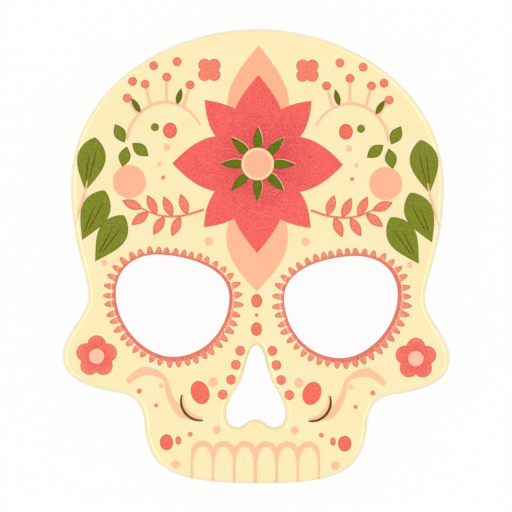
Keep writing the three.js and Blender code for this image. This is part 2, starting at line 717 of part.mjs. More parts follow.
function middleFilms() {
  const noseDots = NOSE_DOT_LEVEL_SHARES.flatMap((share, i) => {
    return pair("nose_dot_" + (i + 1), [noseDotLoop(share)], coral);
  });
  const browDots = BROW_LEVEL_SHARES.flatMap((share, i) => {
    const place = point(0, mix(eyeTopLevel, eyeLowLevel, share));
    return central("brow_dot_" + (i + 1), [dot(place, BROW_DOT_WIDTH, BROW_DOT_HEIGHT)], coral);
  });
  return [
    ...noseDots,
    ...browDots,
    ...pair("jaw_dot", [dot(onChin(...JAW_DOT_SHARES), JAW_DOT_WIDTH, JAW_DOT_HEIGHT)], coralRed),
    ...central("tooth_arches", toothLoops(), palePeach),
  ];
}

// The flat part of the face, as a tall solid that trims the films to it.
function faceSolid() {
  const height = THICKNESS + CUT_OVERRUN;
  const outer = prism(grown(skullLoop, -faceInset), 0, height);
  const holes = openingLoops.map((loop) => prism(grown(loop, faceInset), 0, height));
  return outer.subtract(wasm.Manifold.union(holes));
}

// Each film's mesh, trimmed by the face's edge and by the films printed before it on the same coat.
function filmMeshes() {
  const face = faceSolid();
  const printed = [];
  const films = [...flowerFilms(), ...foliageFilms(), ...cheekFilms(), ...middleFilms()];
  return films.map(({ name, loops, material, coat }) => {
    const bottom = THICKNESS + coat * FILM;
    let solid = filmSolid(loops, 0, bottom, FILM).intersect(face);
    printed.filter((other) => other.coat === coat).forEach((other) => {
      if (solid.intersect(other.room).volume() > 0) solid = solid.subtract(other.room);
    });
    const roomHeight = FILM + 2 * CUT_OVERRUN;
    printed.push({ coat, room: filmSolid(loops, PRINT_GAP, bottom - CUT_OVERRUN, roomHeight) });
    const largest = solid.decompose().sort((a, b) => b.volume() - a.volume())[0];
    const mesh = new THREE.Mesh(geometryOf(largest), material);
    mesh.name = name;
    return mesh;
  });
}

const skull = new THREE.Group();
const plate = new THREE.Mesh(plateGeometry(), whiteChocolate);
plate.name = "skull_plate";
skull.add(plate);
for (const side of [-1, 1]) {
  const ring = new THREE.Mesh(eyeRingGeometry(side), salmon);
  ring.name = (side < 0 ? "left" : "right") + "_eye_petals";
  skull.add(ring);
}
skull.add(...filmMeshes());

export default skull;
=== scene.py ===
"""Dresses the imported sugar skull, a white-chocolate plaque printed with coloured cocoa butter.

Lengths are written in millimetres and become metres where a mesh is made. The print is drawn
flat, as on a transfer sheet, and then laid over the plate's face, its rounded rims and its walls.
"""

from __future__ import annotations

import logging
import math
from collections.abc import Iterable, Sequence
from dataclasses import dataclass, field, replace
from enum import Enum
from functools import cache, partialmethod

import bpy
import numpy as np
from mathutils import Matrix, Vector
from mathutils.geometry import delaunay_2d_cdt

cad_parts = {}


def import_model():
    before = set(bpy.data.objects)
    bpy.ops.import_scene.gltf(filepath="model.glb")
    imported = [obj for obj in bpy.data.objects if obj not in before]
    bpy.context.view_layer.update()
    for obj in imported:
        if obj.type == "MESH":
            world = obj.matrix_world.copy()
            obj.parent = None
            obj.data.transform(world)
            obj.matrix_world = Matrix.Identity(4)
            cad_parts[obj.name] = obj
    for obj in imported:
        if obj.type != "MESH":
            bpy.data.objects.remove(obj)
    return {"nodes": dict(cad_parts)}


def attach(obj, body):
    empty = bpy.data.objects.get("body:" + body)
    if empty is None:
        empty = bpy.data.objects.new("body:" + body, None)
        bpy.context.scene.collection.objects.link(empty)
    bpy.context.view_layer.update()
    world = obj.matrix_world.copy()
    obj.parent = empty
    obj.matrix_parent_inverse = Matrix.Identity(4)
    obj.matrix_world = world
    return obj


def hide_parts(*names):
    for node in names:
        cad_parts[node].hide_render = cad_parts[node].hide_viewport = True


LOG = logging.getLogger("sugar_skull")
MM = 0.001
PIXEL = 0.1053  # millimetres of the object for each pixel of the picture
PICTURE = 512
SIDES = {-1: "left", 1: "right"}
Place = tuple[float, float]
Inputs = dict[str | int, object]


# Drafting in the flat print plane


def curve_through(points: Sequence[Place], steps: Sequence[int]) -> np.ndarray:
    """Sample smooth curves in a row.

    Args:
        points: Corners with two handles between each corner and the next.
        steps: How many samples each curve gets.

    Returns:
        A row for each sample, without the very last corner.
    """
    knots = np.asarray(points, float)
    parts = []
    for i, count in enumerate(steps):
        share = np.linspace(0, 1, count, endpoint=False)[:, None]
        rest = 1 - share
        start, leave, arrive, end = knots[3 * i : 3 * i + 4]
        parts.append(
            rest**3 * start
            + 3 * rest**2 * share * leave
            + 3 * rest * share**2 * arrive
            + share**3 * end
        )
    return np.concatenate(parts)


def counter_clockwise(loop: np.ndarray) -> np.ndarray:
    """Return the loop with its inside on the left of its run."""
    after = np.roll(loop, -1, axis=0)
    area = (loop[:, 0] * after[:, 1] - loop[:, 1] * after[:, 0]).sum()
    return loop if area > 0 else loop[::-1]


def on_side(loop: np.ndarray, side: int) -> np.ndarray:
    """Return the loop, or its mirror image for the left side."""
    return counter_clockwise(loop * (side, 1))


def mirrored(half: np.ndarray) -> np.ndarray:
    """Close a right half, which starts and ends on the middle line, with its mirror image."""
    return counter_clockwise(np.concatenate([half, half[-2:0:-1] * (-1, 1)]))


def left_of(run: np.ndarray) -> np.ndarray:
    """Return the unit direction to the left of each run."""
    return np.column_stack([-run[:, 1], run[:, 0]]) / np.linalg.norm(run, axis=1)[:, None]


def outward_of(loop: np.ndarray) -> np.ndarray:
    """Return the unit direction away from a counter-clockwise loop at each of its points."""
    return -left_of(np.roll(loop, -1, axis=0) - np.roll(loop, 1, axis=0))


def lengths(line: np.ndarray) -> np.ndarray:
    """Return how far along a line each of its points lies."""
    return np.concatenate([[0], np.cumsum(np.linalg.norm(np.diff(line, axis=0), axis=1))])


def stations(line: np.ndarray, wanted: np.ndarray) -> np.ndarray:
    """Return the points at wanted lengths along a line."""
    reach = lengths(line)
    return np.column_stack([np.interp(wanted, reach, line[:, i]) for i in range(2)])


def evenly(loop: np.ndarray, count: int) -> np.ndarray:
    """Return points at equal steps round a closed loop."""
    path = np.vstack([loop, loop[:1]])
    return stations(path, np.linspace(0, lengths(path)[-1], count, endpoint=False))


def turned(points: np.ndarray, degrees: float, place: Place | np.ndarray) -> np.ndarray:
    """Turn points about the origin and carry them to a place."""
    cos, sin = math.cos(math.radians(degrees)), math.sin(math.radians(degrees))
    return points @ np.array([[cos, sin], [-sin, cos]]) + np.asarray(place)


def polar(middle: np.ndarray, reach: float, degrees: float) -> np.ndarray:
    """Return the place at a distance and in a direction from a middle."""
    return turned(np.array([[reach, 0.0]]), degrees, middle)[0]


def dot_loop(place: np.ndarray, width: float, height: float, turn: float = 0) -> np.ndarray:
    """Return an ellipse round a place."""
    angle = np.linspace(0, 2 * math.pi, max(28, int(16 * (width + height))), endpoint=False)
    ellipse = np.column_stack([width / 2 * np.cos(angle), height / 2 * np.sin(angle)])
    return turned(ellipse, turn, place)


def disc(radius: float, place: Place | np.ndarray = (0, 0)) -> np.ndarray:
    """Return a circle round a place."""
    return dot_loop(place, 2 * radius, 2 * radius)


def leaf_loop(
    foot: Place | np.ndarray,
    direction: float,
    length: float,
    width: float,
    fullness: float = 1,
    sharpness: float = 1,
    steps: int = 26,
) -> np.ndarray:
    """Return a leaf's outline.

    Args:
        foot: Where the leaf starts.
        direction: Where it points, in degrees from the right.
        length: From foot to tip.
        width: At its widest.
        fullness: Over 1 puts the widest part nearer the tip.
        sharpness: Under 1 rounds the ends.
        steps: Points along each edge.

    Returns:
        The closed outline.
    """
    share = (1 - np.cos(np.linspace(0, math.pi, steps, endpoint=False))) / 2
    half = np.sin(math.pi * share**fullness) ** sharpness * width / 2
    low = np.column_stack([share * length, -half])
    high = np.column_stack([share * length, half])[:0:-1]
    return counter_clockwise(turned(np.vstack([low, [[length, 0]], high]), direction, foot))


def unit_leaf(fullness: float = 1, sharpness: float = 1) -> np.ndarray:
    """Return the outline of a leaf of length and width 1, for copies of any size."""
    return leaf_loop((0, 0), 0, 1, 1, fullness, sharpness)


def spline(places: Sequence[np.ndarray], steps: int) -> np.ndarray:
    """Step along a smooth line that passes through places.

    Args:
        places: The points it passes through.
        steps: How many equal steps of its parameter it is drawn with.

    Returns:
        The line's points, both ends among them.
    """
    knots = np.asarray(places, float)
    last = len(knots) - 1
    station = np.linspace(0, last, steps + 1)
    index = np.minimum(station.astype(int), last - 1)
    weight = (station - index)[:, None]
    here, there = knots[index], knots[index + 1]
    before, after = knots[np.maximum(index - 1, 0)], knots[np.minimum(index + 2, last)]
    leave, arrive = (there - before) / 2, (after - here) / 2
    return (
        (2 * here - 2 * there + leave + arrive) * weight**3
        + (3 * there - 3 * here - 2 * leave - arrive) * weight**2
        + leave * weight
        + here
    )


def ribbon_loop(line: np.ndarray, widths: Sequence[float]) -> np.ndarray:
    """Return the outline of a strip along a line, its widths given at equal steps of the line."""
    across = left_of(np.gradient(line, axis=0))
    station = np.linspace(0, len(widths) - 1, len(line))
    half = np.interp(station, np.arange(len(widths)), widths)[:, None] / 2
    return counter_clockwise(np.vstack([line - across * half, (line + across * half)[::-1]]))


def distances(
    points: np.ndarray, starts: np.ndarray, ends: np.ndarray, block_size: int = 2000
) -> tuple[np.ndarray, ...]:
    """Measure points against line segments.

    Args:
        points: The points.
        starts: Where each segment starts.
        ends: Where each segment ends.
        block_size: About how many points are measured at a time, to spare memory.

    Returns:
        For each point its distance to the nearest segment, that segment's number, and the
        nearest point on it.
    """
    run = ends - starts
    length = np.maximum((run**2).sum(1), 1e-12)
    away, number, foot = [], [], []
    for block in np.array_split(points, max(1, len(points) // block_size)):
        offset = block[:, None] - starts[None]
        share = np.clip((offset * run).sum(2) / length, 0, 1)
        gap = offset - share[..., None] * run
        square = (gap**2).sum(2)
        nearest = square.argmin(1)
        rows = np.arange(len(block))
        away.append(np.sqrt(square[rows, nearest]))
        number.append(nearest)
        foot.append(block - gap[rows, nearest])
    return np.concatenate(away), np.concatenate(number), np.concatenate(foot)


def enclosed(points: np.ndarray, starts: np.ndarray, ends: np.ndarray) -> np.ndarray:
    """Tell which points lie inside a border, given as its segments, by counting crossings."""
    x, y = points[:, :1], points[:, 1:]
    rise = (starts[:, 1] > y) != (ends[:, 1] > y)
    height = np.where(ends[:, 1] == starts[:, 1], 1e-12, ends[:, 1] - starts[:, 1])
    cross = starts[:, 0] + (y - starts[:, 1]) * (ends[:, 0] - starts[:, 0]) / height
    return (rise & (x < cross)).sum(1) % 2 == 1


def filled(points: np.ndarray, sides: np.ndarray, nearness: float) -> tuple[np.ndarray, ...]:
    """Fill the area inside borders with triangles.

    Args:
        points: The points to use.
        sides: The borders' sides, as pairs of the points' numbers.
        nearness: Points nearer than this become one.

    Returns:
        The points, the triangles, and which given point each point was, or -1 for a new one.
    """
    given = [Vector(point) for point in points]
    found = delaunay_2d_cdt(given, sides.tolist(), [], 0, nearness)
    flat = np.array([tuple(point) for point in found[0]])
    triangles = np.array([tuple(face) for face in found[2]])
    inside = enclosed(flat[triangles].mean(1), points[sides[:, 0]], points[sides[:, 1]])
    return flat, triangles[inside], np.array([ids[0] if ids else -1 for ids in found[3]])


def open_sides(triangles: Iterable[Sequence[int]]) -> list[tuple[int, int]]:
    """Return the directed sides that only one triangle has."""
    sides = {(int(t[i]), int(t[(i + 1) % 3])) for t in triangles for i in range(3)}
    return sorted(side for side in sides if side[::-1] not in sides)


# The plate's plan and its printable skin


@dataclass(frozen=True)
class SkullPlan:
    """The plate's driving sizes, and the places that follow from them."""

    forehead_height: float = 23.9
    eye_height: float = 10.8
    eye_width: float = 12.0
    nose_drop: float = 7.4
    nose_rise: float = 1.35
    nose_width: float = 6.3
    chin_height: float = 5.9
    bridge_width: float = 5.8
    temple_margin: float = 2.9
    crown_bulge: float = 1.9
    cheek_bulge: float = 2.65
    jaw_width: float = 23.6
    thickness: float = 3.0
    rim_radius: float = 0.5
    draft: float = 0.15
    eye_shares: tuple[Place, ...] = (
        (0.26, 1), (0.72, 1), (1, 0.68), (1, 0.24), (1, -0.42), (0.46, -1),
        (0, -1), (-0.6, -1), (-1, -0.42), (-1, 0.17), (-1, 0.86), (-0.02, 1),
    )
    nose_shares: tuple[Place, ...] = (
        (0, 1), (0.3, 1), (0.3, 0.72), (0.56, 0.54), (0.76, 0.41), (1, 0.3), (1, 0.165),
        (1, 0.07), (0.85, 0), (0.62, 0), (0.37, 0), (0.3, 0.095), (0, 0.095),
    )

    @property
    def temple_half(self) -> float:
        """Half the width at the temples."""
        return self.bridge_width / 2 + self.eye_width + self.temple_margin

    @property
    def crown_half(self) -> float:
        """Half the width at the crown."""
        return self.temple_half + self.crown_bulge

    @property
    def cheek_half(self) -> float:
        """Half the width at the cheek bones."""
        return self.temple_half + self.cheek_bulge

    @property
    def jaw_half(self) -> float:
        """Half the width at the jaw."""
        return self.jaw_width / 2

    @property
    def crown_level(self) -> float:
        """Level of the top of the crown."""
        return (self.forehead_height + self.eye_height + self.nose_drop + self.chin_height) / 2

    @property
    def eye_top(self) -> float:
        """Level of the upper edge of the eye openings."""
        return self.crown_level - self.forehead_height

    @property
    def eye_low(self) -> float:
        """Level of the lower edge of the eye openings."""
        return self.eye_top - self.eye_height

    @property
    def nose_top(self) -> float:
        """Level of the nose opening's upper end."""
        return self.eye_low + self.nose_rise

    @property
    def nose_low(self) -> float:
        """Level of the nose opening's lower edge."""
        return self.eye_low - self.nose_drop

    @property
    def face_inset(self) -> float:
        """From any border in to the flat face."""
        return self.draft + self.rim_radius

    def on_forehead(self, across: float, up: float) -> np.ndarray:
        """Return a place in shares of the crown's half width and the forehead's height."""
        return np.array([across * self.crown_half, self.eye_top + up * self.forehead_height])

    def on_cheek(self, across: float, down: float) -> np.ndarray:
        """Return a place in shares of the cheeks' half width and the nose's drop."""
        return np.array([across * self.cheek_half, self.eye_low - down * self.nose_drop])

    def on_chin(self, across: float, down: float) -> np.ndarray:
        """Return a place in shares of the jaw's half width and the chin's height."""
        return np.array([across * self.jaw_half, self.nose_low - down * self.chin_height])

    def on_bridge(self, down: float) -> np.ndarray:
        """Return a place between the eyes in shares of their height."""
        return np.array([0, self.eye_top - down * self.eye_height])

    def outline(self) -> np.ndarray:
        """Return the skull's outline, a counter-clockwise loop."""
        crown, chin, cheek = self.crown_level, -self.crown_level, self.eye_low
        side = self.eye_top + 0.305 * self.forehead_height
        temple = self.eye_top - 0.41 * self.eye_height
        run = self.cheek_half - self.jaw_half
        hollow = (self.jaw_half + 0.34 * run, cheek - 0.51 * self.nose_drop)
        jaw = cheek - 0.88 * self.nose_drop
        corners_and_handles = [
            (0, crown),
            (0.48 * self.crown_half, crown),
            (self.crown_half, side + 0.63 * (crown - side)),
            (self.crown_half, side),
            (self.crown_half, side - 0.55 * (side - temple)),
            (self.temple_half, temple + 0.22 * (side - temple)),
            (self.temple_half, temple),
            (self.temple_half, temple - 0.34 * (temple - cheek)),
            (self.cheek_half, cheek + 0.38 * (temple - cheek)),
            (self.cheek_half, cheek),
            (self.cheek_half, cheek - 0.54 * (cheek - hollow[1])),
            (hollow[0] + 0.44 * run, hollow[1] + 0.14 * 0.44 * run),
            hollow,
            (hollow[0] - 0.3 * run, hollow[1] - 0.14 * 0.3 * run),
            (self.jaw_half + 0.04 * run, jaw + 0.36 * (hollow[1] - jaw)),
            (self.jaw_half, jaw),
            (0.98 * self.jaw_half, jaw - 0.82 * (jaw - chin)),
            (0.76 * self.jaw_half, chin),
            (0, chin),
        ]
        half = curve_through(corners_and_handles, [72, 30, 30, 28, 28, 72])
        return mirrored(np.vstack([half, [[0, chin]]]))

    def eye(self, side: int) -> np.ndarray:
        """Return an eye opening's outline."""
        across, up = (self.bridge_width + self.eye_width) / 2, (self.eye_top + self.eye_low) / 2
        half = np.array([self.eye_width / 2, self.eye_height / 2])
        places = np.array([across, up]) + half * np.array(self.eye_shares)
        return on_side(curve_through([*places, places[0]], [48] * 4), side)

    def nose(self) -> np.ndarray:
        """Return the nose opening's outline."""
        size = np.array([self.nose_width / 2, self.nose_top - self.nose_low])
        places = np.array([0, self.nose_low]) + size * np.array(self.nose_shares)
        return mirrored(np.vstack([curve_through(places, [20] * 4), places[-1:]]))


class PrintBed:
    """The plate's skin, which flat artwork is laid over."""

    def __init__(self, plan: SkullPlan) -> None:
        """Collect the borders, each run with the plate on its left."""
        self.plan = plan
        eyes = [plan.eye(side)[::-1] for side in SIDES]
        self.borders = [plan.outline(), *eyes, plan.nose()[::-1]]
        self.starts = np.vstack(self.borders)
        self.ends = np.vstack([np.roll(border, -1, axis=0) for border in self.borders])

    def profile(self, over: np.ndarray) -> tuple[np.ndarray, ...]:
        """Follow the skin from the flat face over the rim and down the wall.

        Args:
            over: Length along the skin past the face's edge, negative on the face.

        Returns:
            The inset from the border, the height, and how far the skin faces outwards and up.
        """
        plan = self.plan
        arc = plan.rim_radius * math.pi / 2
        turn = math.pi / 2 - np.clip(over, 0, arc) / plan.rim_radius
        lean = math.atan2(plan.draft, plan.thickness - plan.rim_radius)
        down = np.clip(over - arc, 0, None)
        inset = plan.draft + plan.rim_radius * (1 - np.cos(turn)) - down * math.sin(lean)
        inset = np.where(over <= 0, plan.face_inset - over, inset)
        height = plan.thickness - plan.rim_radius * (1 - np.sin(turn)) - down * math.cos(lean)
        return inset, height, np.cos(turn), np.sin(turn)

    def lay(self, flat: np.ndarray) -> np.ndarray:
        """Lay flat artwork over the skin.

        Args:
            flat: A row for each point: its place in the print plane and its lift.

        Returns:
            The points on the plate, in millimetres.
        """
        place, lift = flat[:, :2], flat[:, 2]
        away, number, foot = distances(place, self.starts, self.ends)
        left = left_of(self.ends[number] - self.starts[number])
        offset = place - foot
        side = np.where((offset * left).sum(1) < 0, -1.0, 1.0)
        inwards = offset * side[:, None] / np.maximum(away, 1e-9)[:, None]
        inwards = np.where(away[:, None] > 1e-5, inwards, left)
        over = self.plan.face_inset - side * away
        inset, height, outwards, upwards = self.profile(over)
        across = foot + inwards * (inset - lift * outwards)[:, None]
        wrapped = np.column_stack([across, height + lift * upwards])
        laid = np.column_stack([place, self.plan.thickness + lift])
        return np.where(over[:, None] > 0, wrapped, laid)


# Node trees


class Wiring:
    """A node tree that is being built."""

    def __init__(self, tree: bpy.types.NodeTree) -> None:
        """Start on a tree."""
        self.tree = tree

    def feed(self, node: bpy.types.Node, inputs: Inputs) -> None:
        """Link sockets to a node's inputs, or set the inputs to plain values."""
        for key, value in inputs.items():
            if isinstance(value, bpy.types.NodeSocket):
                self.tree.links.new(value, node.inputs[key])
            else:
                node.inputs[key].default_value = value

    def add(self, kind: str, inputs: Inputs | None = None, **settings: object) -> bpy.types.Node:
        """Add a node, set its properties and feed its inputs."""
        node = self.tree.nodes.new(kind)
        for name, value in settings.items():
            setattr(node, name, value)
        self.feed(node, inputs or {})
        return node

    def get(
        self, kind: str, inputs: Inputs | None = None, output: str | int = 0, **settings: object
    ) -> bpy.types.NodeSocket:
        """Add a node and return one of its outputs."""
        return self.add(kind, inputs, **settings).outputs[output]

    def calc(self, operation: str, *values: object, clamp: bool = False) -> bpy.types.NodeSocket:
        """Return a calculation's result, which clamp keeps between 0 and 1."""
        inputs = dict(enumerate(values))
        return self.get("ShaderNodeMath", inputs, operation=operation, use_clamp=clamp)

    plus = partialmethod(calc, "ADD")
    minus = partialmethod(calc, "SUBTRACT")
    times = partialmethod(calc, "MULTIPLY")

    def blend(self, share: object, first: object, second: object) -> bpy.types.NodeSocket:
        """Return a mix of two colours."""
        return self.get("ShaderNodeMix", {0: share, 6: first, 7: second}, 2, data_type="RGBA")

    def place(self) -> bpy.types.NodeSocket:
        """Return the shaded place in the object's own frame."""
        return self.get("ShaderNodeTexCoord", output="Object")

    def stored(self, name: str) -> bpy.types.NodeSocket:
        """Return a value that the mesh stores for its points."""
        return self.get("ShaderNodeAttribute", output="Fac", attribute_name=name)

    def noise(
        self, place: bpy.types.NodeSocket, grain_mm: float, detail: float = 1.0
    ) -> bpy.types.NodeSocket:
        """Return noise with grains of a size."""
        inputs = {"Vector": place, "Scale": 1 / (grain_mm * MM), "Detail": detail}
        return self.get("ShaderNodeTexNoise", inputs)

    def swing(
        self, noise: bpy.types.NodeSocket, strength: object, clamp: bool = False
    ) -> bpy.types.NodeSocket:
        """Return noise that swings about zero."""
        return self.times(self.minus(noise, 0.5), strength, clamp=clamp)

    def bump(
        self, height: bpy.types.NodeSocket, strength: float, depth_mm: float
    ) -> bpy.types.NodeSocket:
        """Return the normal of a surface with fine relief."""
        inputs = {"Strength": strength, "Distance": depth_mm * MM, "Height": height}
        return self.get("ShaderNodeBump", inputs)


def new_group(
    name: str, kind: str, inputs: dict[str, str], outputs: dict[str, str]
) -> tuple[Wiring, bpy.types.bpy_prop_collection]:
    """Start a node group.

    Args:
        name: The group's name.
        kind: Shader or Geometry.
        inputs: The kind of socket for each input.
        outputs: The kind of socket for each output.

    Returns:
        The group's wiring, and the sockets that carry its inputs.
    """
    tree = bpy.data.node_groups.new(name, f"{kind}NodeTree")
    for direction, sockets in (("INPUT", inputs), ("OUTPUT", outputs)):
        for label, data in sockets.items():
            tree.interface.new_socket(label, in_out=direction, socket_type=f"NodeSocket{data}")
    wiring = Wiring(tree)
    return wiring, wiring.add("NodeGroupInput").outputs


# Finishes


FINE_GRAIN, COARSE_GRAIN, PATCHES = 0.1, 0.17, 1.3
PATCH_SWING = 0.5
# How much every ink is darkened over the rounded rims and walls: painted shade.
RIM_PAINTED_SHADE = 0.6
WALL_ROUGHNESS = 0.9
RIM_BAND, WALL_BAND, BACK_BAND = (2.95, 0.3), (2.7, 0.35), (0.08, 0.06)


def linear(code: str) -> tuple[float, ...]:
    """Turn a colour such as ffcc00 into Blender's linear values."""
    values = [int(code[i : i + 2], 16) / 255 for i in (0, 2, 4)]
    return *(v / 12.92 if v <= 0.04045 else ((v + 0.055) / 1.055) ** 2.4 for v in values), 1.0


@cache
def grain_group() -> bpy.types.NodeTree:
    """Return the shader group for printed cocoa butter: grain, mottling and dark edge."""
    colors = dict.fromkeys(("Ink", "Deep", "Pale", "Outline"), "Color")
    values = dict.fromkeys(("Grain", "Depth", "Flecks", "Edge", "Edge Strength"), "Float")
    inputs = {"Place": "Vector", **colors, **values}
    outputs = {"Color": "Color", "Height": "Float"}
    wiring, given = new_group("printed_cocoa_butter", "Shader", inputs, outputs)
    fine = wiring.noise(given["Place"], FINE_GRAIN)
    coarse = wiring.noise(given["Place"], COARSE_GRAIN)
    patches = wiring.noise(given["Place"], PATCHES, 2.0)
    swing = wiring.swing(fine, given["Grain"])
    deep = wiring.plus(wiring.times(swing, -1.0, clamp=True), given["Depth"], clamp=True)
    deep = wiring.plus(deep, wiring.swing(patches, PATCH_SWING), clamp=True)
    flecks = wiring.swing(coarse, given["Flecks"], clamp=True)
    pale = wiring.plus(wiring.times(swing, 1.0, clamp=True), flecks, clamp=True)
    color = wiring.blend(deep, given["Ink"], given["Deep"])
    color = wiring.blend(pale, color, given["Pale"])
    edge = wiring.times(given["Edge"], given["Edge Strength"])
    edge = wiring.times(edge, wiring.plus(fine, 0.5), clamp=True)
    color = wiring.blend(edge, color, given["Outline"])
    wiring.add("NodeGroupOutput", {"Color": color, "Height": fine})
    return wiring.tree


@cache
def edge_group() -> bpy.types.NodeTree:
    """Return the shader group that tells the rounded rim and the matt wall from the face."""
    inputs = {"Place": "Vector", "Face Roughness": "Float"}
    outputs = dict.fromkeys(("Rim", "Back", "Roughness"), "Float")
    wiring, given = new_group("moulded_edge", "Shader", inputs, outputs)
    height = wiring.get("ShaderNodeSeparateXYZ", {0: given["Place"]}, "Z")

    def below(level: float, span: float) -> bpy.types.NodeSocket:
        depth = wiring.minus(level * MM, height)
        return wiring.calc("DIVIDE", depth, span * MM, clamp=True)

    dull = wiring.minus(WALL_ROUGHNESS, given["Face Roughness"])
    dull = wiring.times(dull, below(*WALL_BAND))
    roughness = wiring.plus(given["Face Roughness"], dull)
    results = {"Rim": below(*RIM_BAND), "Back": below(*BACK_BAND), "Roughness": roughness}
    wiring.add("NodeGroupOutput", results)
    return wiring.tree


def shader(name: str) -> tuple[bpy.types.Material, Wiring, bpy.types.Node]:
    """Return a new material, its wiring and its main shader."""
    material = bpy.data.materials.new(name)
    material.use_nodes = True
    return material, Wiring(material.node_tree), material.node_tree.nodes["Principled BSDF"]


def moulded(
    wiring: Wiring, place: bpy.types.NodeSocket, roughness: float
) -> bpy.types.bpy_prop_collection:
    """Return the outputs of the edge group for a face of some roughness."""
    inputs = {"Place": place, "Face Roughness": roughness}
    return wiring.add("ShaderNodeGroup", inputs, node_tree=edge_group()).outputs


@dataclass(frozen=True)
class Bloom:
    """How a flower's ink deepens round its heart, and where it is flecked."""

    name: str
    heart: np.ndarray
    reach: float
    depth: float
    flecks: float
    fleck_offset: Place
    fleck_reach: float = 1.05


@dataclass(frozen=True)
class PrintFinish:
    """One ink of the print.

    The shades are its own colour, its deep and pale grains and its outline.
    """

    kind: str
    shades: str
    grain: float
    edge_strength: float
    shine: float = 0.5
    roughness: float = 0.3
    variant: str = ""
    relief: float = 0.25
    relief_depth: float = 0.015

    @property
    def slot(self) -> str:
        """The name of the slot that pieces in this ink fill."""
        return f"{self.kind}_print"

    def material(self, bloom: Bloom | None = None) -> bpy.types.Material:
        """Return the ink's material.

        Args:
            bloom: A flower whose ink is deeper round its heart, or nothing.

        Returns:
            The material, built once for each kind.
        """
        extra = [label for label in (self.variant, bloom.name if bloom else "") if label]
        name = "_".join(["cocoa_butter", self.slot, *extra])
        if name in bpy.data.materials:
            return bpy.data.materials[name]
        material, wiring, surface = shader(name)
        place = wiring.place()
        mould = moulded(wiring, place, self.roughness)
        # Painted shade: the ink darkens over the rim and down the wall, and more where a band
        # stores its own painted shade.
        depth = wiring.times(mould["Rim"], RIM_PAINTED_SHADE)
        depth = wiring.plus(depth, wiring.stored("painted_band_shade"))
        flecks = 0.0
        if bloom:
            glow = self._glow(wiring, place, bloom.heart, bloom.reach)
            depth = wiring.plus(depth, wiring.times(glow, bloom.depth))
            speckled, reach = bloom.heart + bloom.fleck_offset, bloom.fleck_reach * bloom.reach
            flecks = wiring.times(self._glow(wiring, place, speckled, reach), bloom.flecks)
        codes = dict(zip(("Ink", "Deep", "Pale", "Outline"), self.shades.split()))
        printed = wiring.add("ShaderNodeGroup", node_tree=grain_group())
        wiring.feed(printed, {
            "Place": place,
            **{label: linear(code) for label, code in codes.items()},
            "Grain": self.grain,
            "Depth": depth,
            "Flecks": flecks,
            "Edge": wiring.stored("ink_edge"),
            "Edge Strength": self.edge_strength,
        })
        height = printed.outputs["Height"]
        wiring.feed(surface, {
            "Base Color": printed.outputs["Color"],
            "Roughness": mould["Roughness"],
            "Specular IOR Level": self.shine,
            "Normal": wiring.bump(height, self.relief, self.relief_depth),
        })
        return material

    @staticmethod
    def _glow(
        wiring: Wiring, place: bpy.types.NodeSocket, middle: np.ndarray, reach: float
    ) -> bpy.types.NodeSocket:
        """Return a mask that falls from 1 at a place on the face to 0 at its reach."""
        size = 1 / (reach * MM)
        centred = wiring.get("ShaderNodeMapping", {
            "Vector": place,
            "Location": (-middle[0] / reach, -middle[1] / reach, 0),
            "Scale": (size, size, 0),
        }, vector_type="POINT")
        ball = {0: centred}
        return wiring.get("ShaderNodeTexGradient", ball, "Fac", gradient_type="SPHERICAL")


class Ink(Enum):
    """The print's inks. Some are mixed a little warmer or paler for one kind of ornament."""

    CORAL_RED = PrintFinish("coral_red", "fa5750 d42a3c fb8a7e c0704a", 2.7, 0.8, 0.4, 0.25)
    WARM_RED = PrintFinish("coral_red", "fa624a e2483e fd9c88 b8643c", 3.2, 0.9, 0.4, 0.25, "warm")
    CHEEK_RED = PrintFinish(
        "coral_red", "fb7d60 ec4446 fda08c b8683c", 2.6, 0.9, 0.4, 0.25, "cheek"
    )
    CORAL = PrintFinish("coral", "f97a5c e5604c fba183 b8662f", 4.2, 0.9, 0.4, 0.25)
    BROW_CORAL = PrintFinish("coral", "f8724a de5234 fb9478 b8642a", 4.6, 0.9, 0.4, 0.25, "brow")
    SALMON = PrintFinish("salmon", "fa8a66 e0563f feab8c bc6c3c", 4.6, 0.9, 0.6, 0.2)
    PEACH = PrintFinish("peach", "fdb48d f9a67c fdc4a4 f8b088", 1.8, 0.5)
    CROWN_PEACH = PrintFinish("peach", "fdb186 f9a374 fdc19d f8ad81", 1.8, 0.5, variant="crown")
    BROW_PEACH = PrintFinish("peach", "fdb88e f9aa7c fdc8a4 f8b488", 1.8, 0.5, variant="brow")
    CHEEK_PEACH = PrintFinish("peach", "fdc1a2 f9ae88 fed3b8 f2a67e", 2.2, 0.5, variant="cheek")
    PALE_PEACH = PrintFinish("pale_peach", "fcc498 f7ab7c fdd3ae fac095", 1.6, 0.4)
    CREAM = PrintFinish("cream", "fbd3a2 f8c894 fde0b6 f6c28e", 1.4, 0.3)
    OLIVE = PrintFinish("olive", "7e871e 647209 94a042 6c6a06", 4.4, 1.0, 0.1, 0.25)
    LEAF_GREEN = PrintFinish("leaf_green", "637106 4e5c04 808a2c 4e5600", 4.0, 0.9, 0.08, 0.25)
    UMBER = PrintFinish("umber", "684404 523202 85662a 4c3202", 2.6, 0.4, 0.08)


